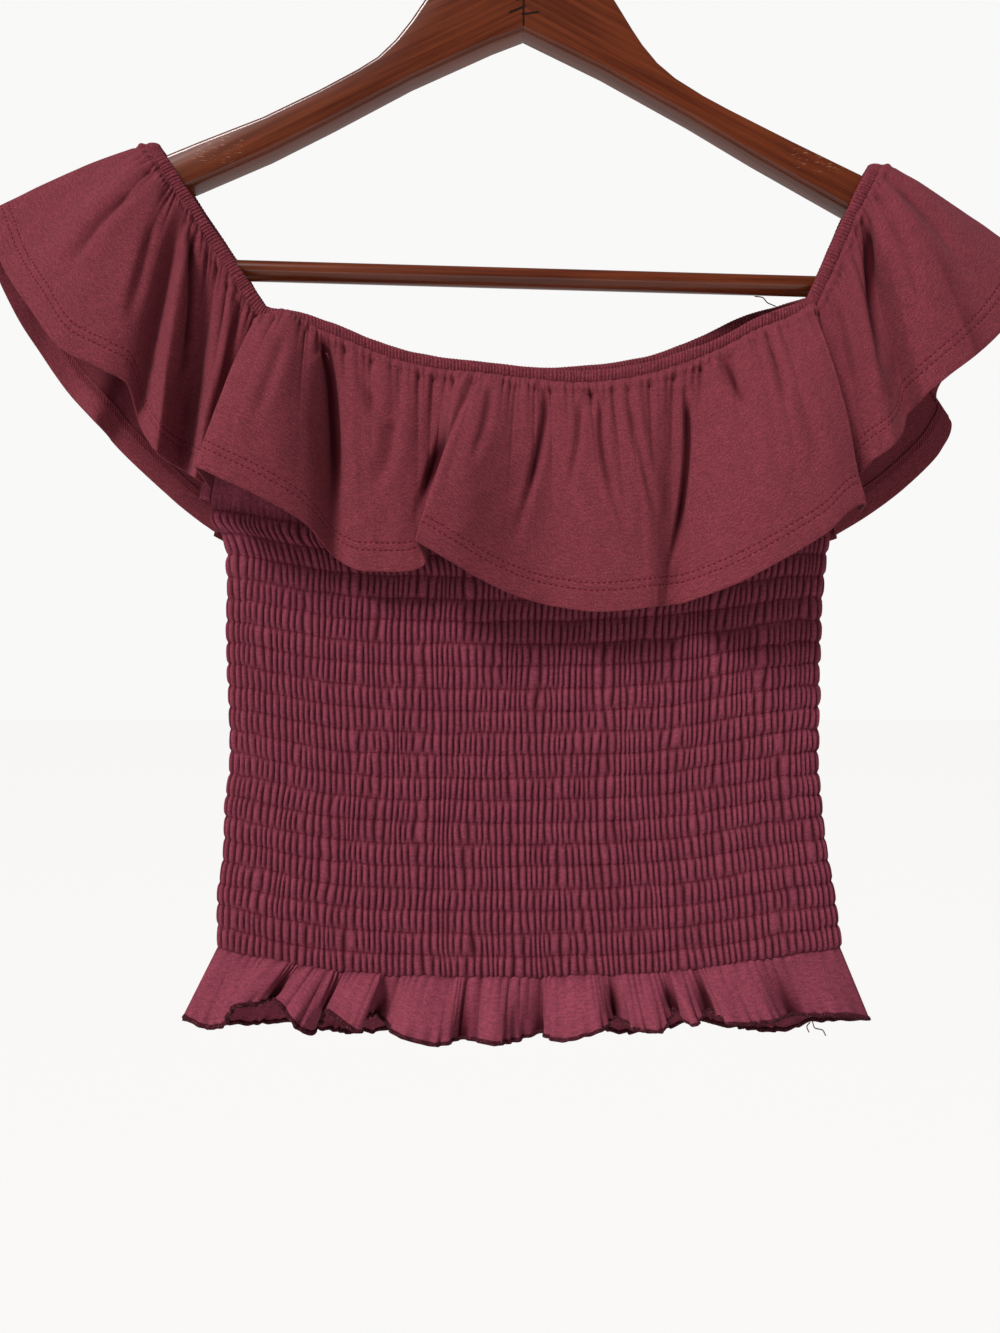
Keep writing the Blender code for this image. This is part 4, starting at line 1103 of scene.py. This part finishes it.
def hanger_arm(name, outline):
    """A flat board cut to an outline, its edges well rounded."""
    work = bmesh.new()
    ring = [work.verts.new(Vector((*seen(a, d, ARM_THICKNESS / 2),)) * MM) for a, d in outline]
    face = work.faces.new(ring)
    grown = bmesh.ops.extrude_face_region(work, geom=[face])
    moved = [item for item in grown["geom"] if isinstance(item, bmesh.types.BMVert)]
    bmesh.ops.translate(work, verts=moved, vec=(0.0, ARM_THICKNESS * MM, 0.0))
    bmesh.ops.recalc_face_normals(work, faces=work.faces)
    rims = [edge for edge in work.edges
            if abs(edge.verts[0].co.y - edge.verts[1].co.y) < 1e-6
            and max(abs(end.co.x + 3.0 * MM) for end in edge.verts) > 0.5 * MM]
    bmesh.ops.bevel(work, geom=rims, offset=ARM_ROUND * MM, segments=4, profile=0.5, affect="EDGES",
                    material=-1, clamp_overlap=True)
    run = Vector((*(seen(*outline[14], 0.0) - seen(*outline[7], 0.0)),)).normalized()
    rise = Vector((-run.z, 0.0, run.x))
    board = work.loops.layers.uv.new("cloth")
    for face in work.faces:
        for corner in face.loops:
            corner[board].uv = (corner.vert.co.dot(run), corner.vert.co.dot(rise) + corner.vert.co.y)
    mesh = bpy.data.meshes.new(name)
    work.to_mesh(mesh)
    work.free()
    piece = finish_piece(name + "_board", mesh, lacquer, [name])
    mesh.set_sharp_from_angle(angle=math.radians(40))
    return piece


hanger_arm("hanger_arm_left", ARM_LEFT)
hanger_arm("hanger_arm_right", ARM_RIGHT)

bar_ends = [seen(face, BAR_AT_CENTRE, ARM_THICKNESS / 2)[0] for face in BAR_FACES]
bar_x = np.linspace(bar_ends[0] + GAP, bar_ends[1] - GAP, 60)
bar_path = np.stack([bar_x, 0.0 * bar_x, -BAR_AT_CENTRE - math.tan(HANGER_TILT) * bar_x], axis=1)
tube("bar_rod", bar_path, BAR_DIAMETER, BAR_DIAMETER, np.tile([0.0, 0.0, 1.0], (60, 1)), lacquer,
     ["hanger_bar"], around=40)

crest = seen(*ARM_LEFT[0], ARM_THICKNESS / 2)
hook = [(-3.0, 0.0, crest[2] + GAP), (-2.7, 0.0, -56.0), (-1.0, 0.0, -47.5), (6.0, 0.0, -41.0)]
for degrees in range(-45, 206, 14):
    angle = math.radians(degrees)
    hook.append((HOOK_RADIUS * math.cos(angle), 0.0,
                 HOOK_WIRE / 2 - HOOK_RADIUS + HOOK_RADIUS * math.sin(angle)))
hook_path = spline(hook, 160)
tube("hook_wire", hook_path, HOOK_WIRE, HOOK_WIRE, np.tile([0.0, 1.0, 0.0], (160, 1)), steel,
     ["hanger_hook"], around=24)


# Surroundings

AMBIENT = 0.18
BEHIND = 0.95
FLOOR_SIZE = 30.0
FLOOR_HEIGHT = -2.0
KEY = 4.25
KEY_WAY = (0.48, 0.56, -0.76)
KEY_WIDTH = math.radians(18)
STRIP = 1.0
STRIP_SIZE = (1.6, 0.12)
STRIP_PLACE = (-0.1, -1.0, -0.45)
STRIP_WAY = (0.1, 1.0, 0.10)


def surroundings():
    floor_mesh = bpy.data.meshes.new("floor")
    work = bmesh.new()
    bmesh.ops.create_grid(work, x_segments=1, y_segments=1, size=FLOOR_SIZE)
    bmesh.ops.translate(work, verts=work.verts, vec=(0.0, 0.0, FLOOR_HEIGHT))
    work.to_mesh(floor_mesh)
    work.free()
    pale = Finish("pale_floor", Base_Color=(0.83, 0.825, 0.82, 1.0), Roughness=0.9,
                  Specular_IOR_Level=0.1)
    floor_mesh.materials.append(pale.material)
    floor = bpy.data.objects.new("floor", floor_mesh)
    bpy.context.scene.collection.objects.link(floor)
    world = bpy.data.worlds.new("studio")
    bpy.context.scene.world = world
    world.use_nodes = True
    nodes = world.node_tree.nodes
    links = world.node_tree.links
    lighting = nodes["Background"]
    lighting.inputs["Color"].default_value = (1.0, 0.98, 0.97, 1.0)
    lighting.inputs["Strength"].default_value = AMBIENT
    behind = nodes.new("ShaderNodeBackground")
    behind.inputs["Color"].default_value = (1.0, 0.995, 0.99, 1.0)
    behind.inputs["Strength"].default_value = BEHIND
    ray = nodes.new("ShaderNodeLightPath")
    chosen = nodes.new("ShaderNodeMixShader")
    links.new(ray.outputs["Is Camera Ray"], chosen.inputs[0])
    links.new(lighting.outputs[0], chosen.inputs[1])
    links.new(behind.outputs[0], chosen.inputs[2])
    links.new(chosen.outputs[0], nodes["World Output"].inputs["Surface"])
    lamp = bpy.data.lights.new("key", "SUN")
    lamp.energy = KEY
    lamp.angle = KEY_WIDTH
    key = bpy.data.objects.new("key", lamp)
    key.rotation_euler = Vector(KEY_WAY).to_track_quat("-Z", "Y").to_euler()
    bpy.context.scene.collection.objects.link(key)
    strip = bpy.data.lights.new("strip", "AREA")
    strip.shape = "RECTANGLE"
    strip.size, strip.size_y = STRIP_SIZE
    strip.energy = STRIP
    window = bpy.data.objects.new("strip", strip)
    window.location = STRIP_PLACE
    window.rotation_euler = Vector(STRIP_WAY).to_track_quat("-Z", "Y").to_euler()
    bpy.context.scene.collection.objects.link(window)
    bpy.context.scene.view_settings.view_transform = "Standard"


surroundings()

bpy.context.view_layer.update()
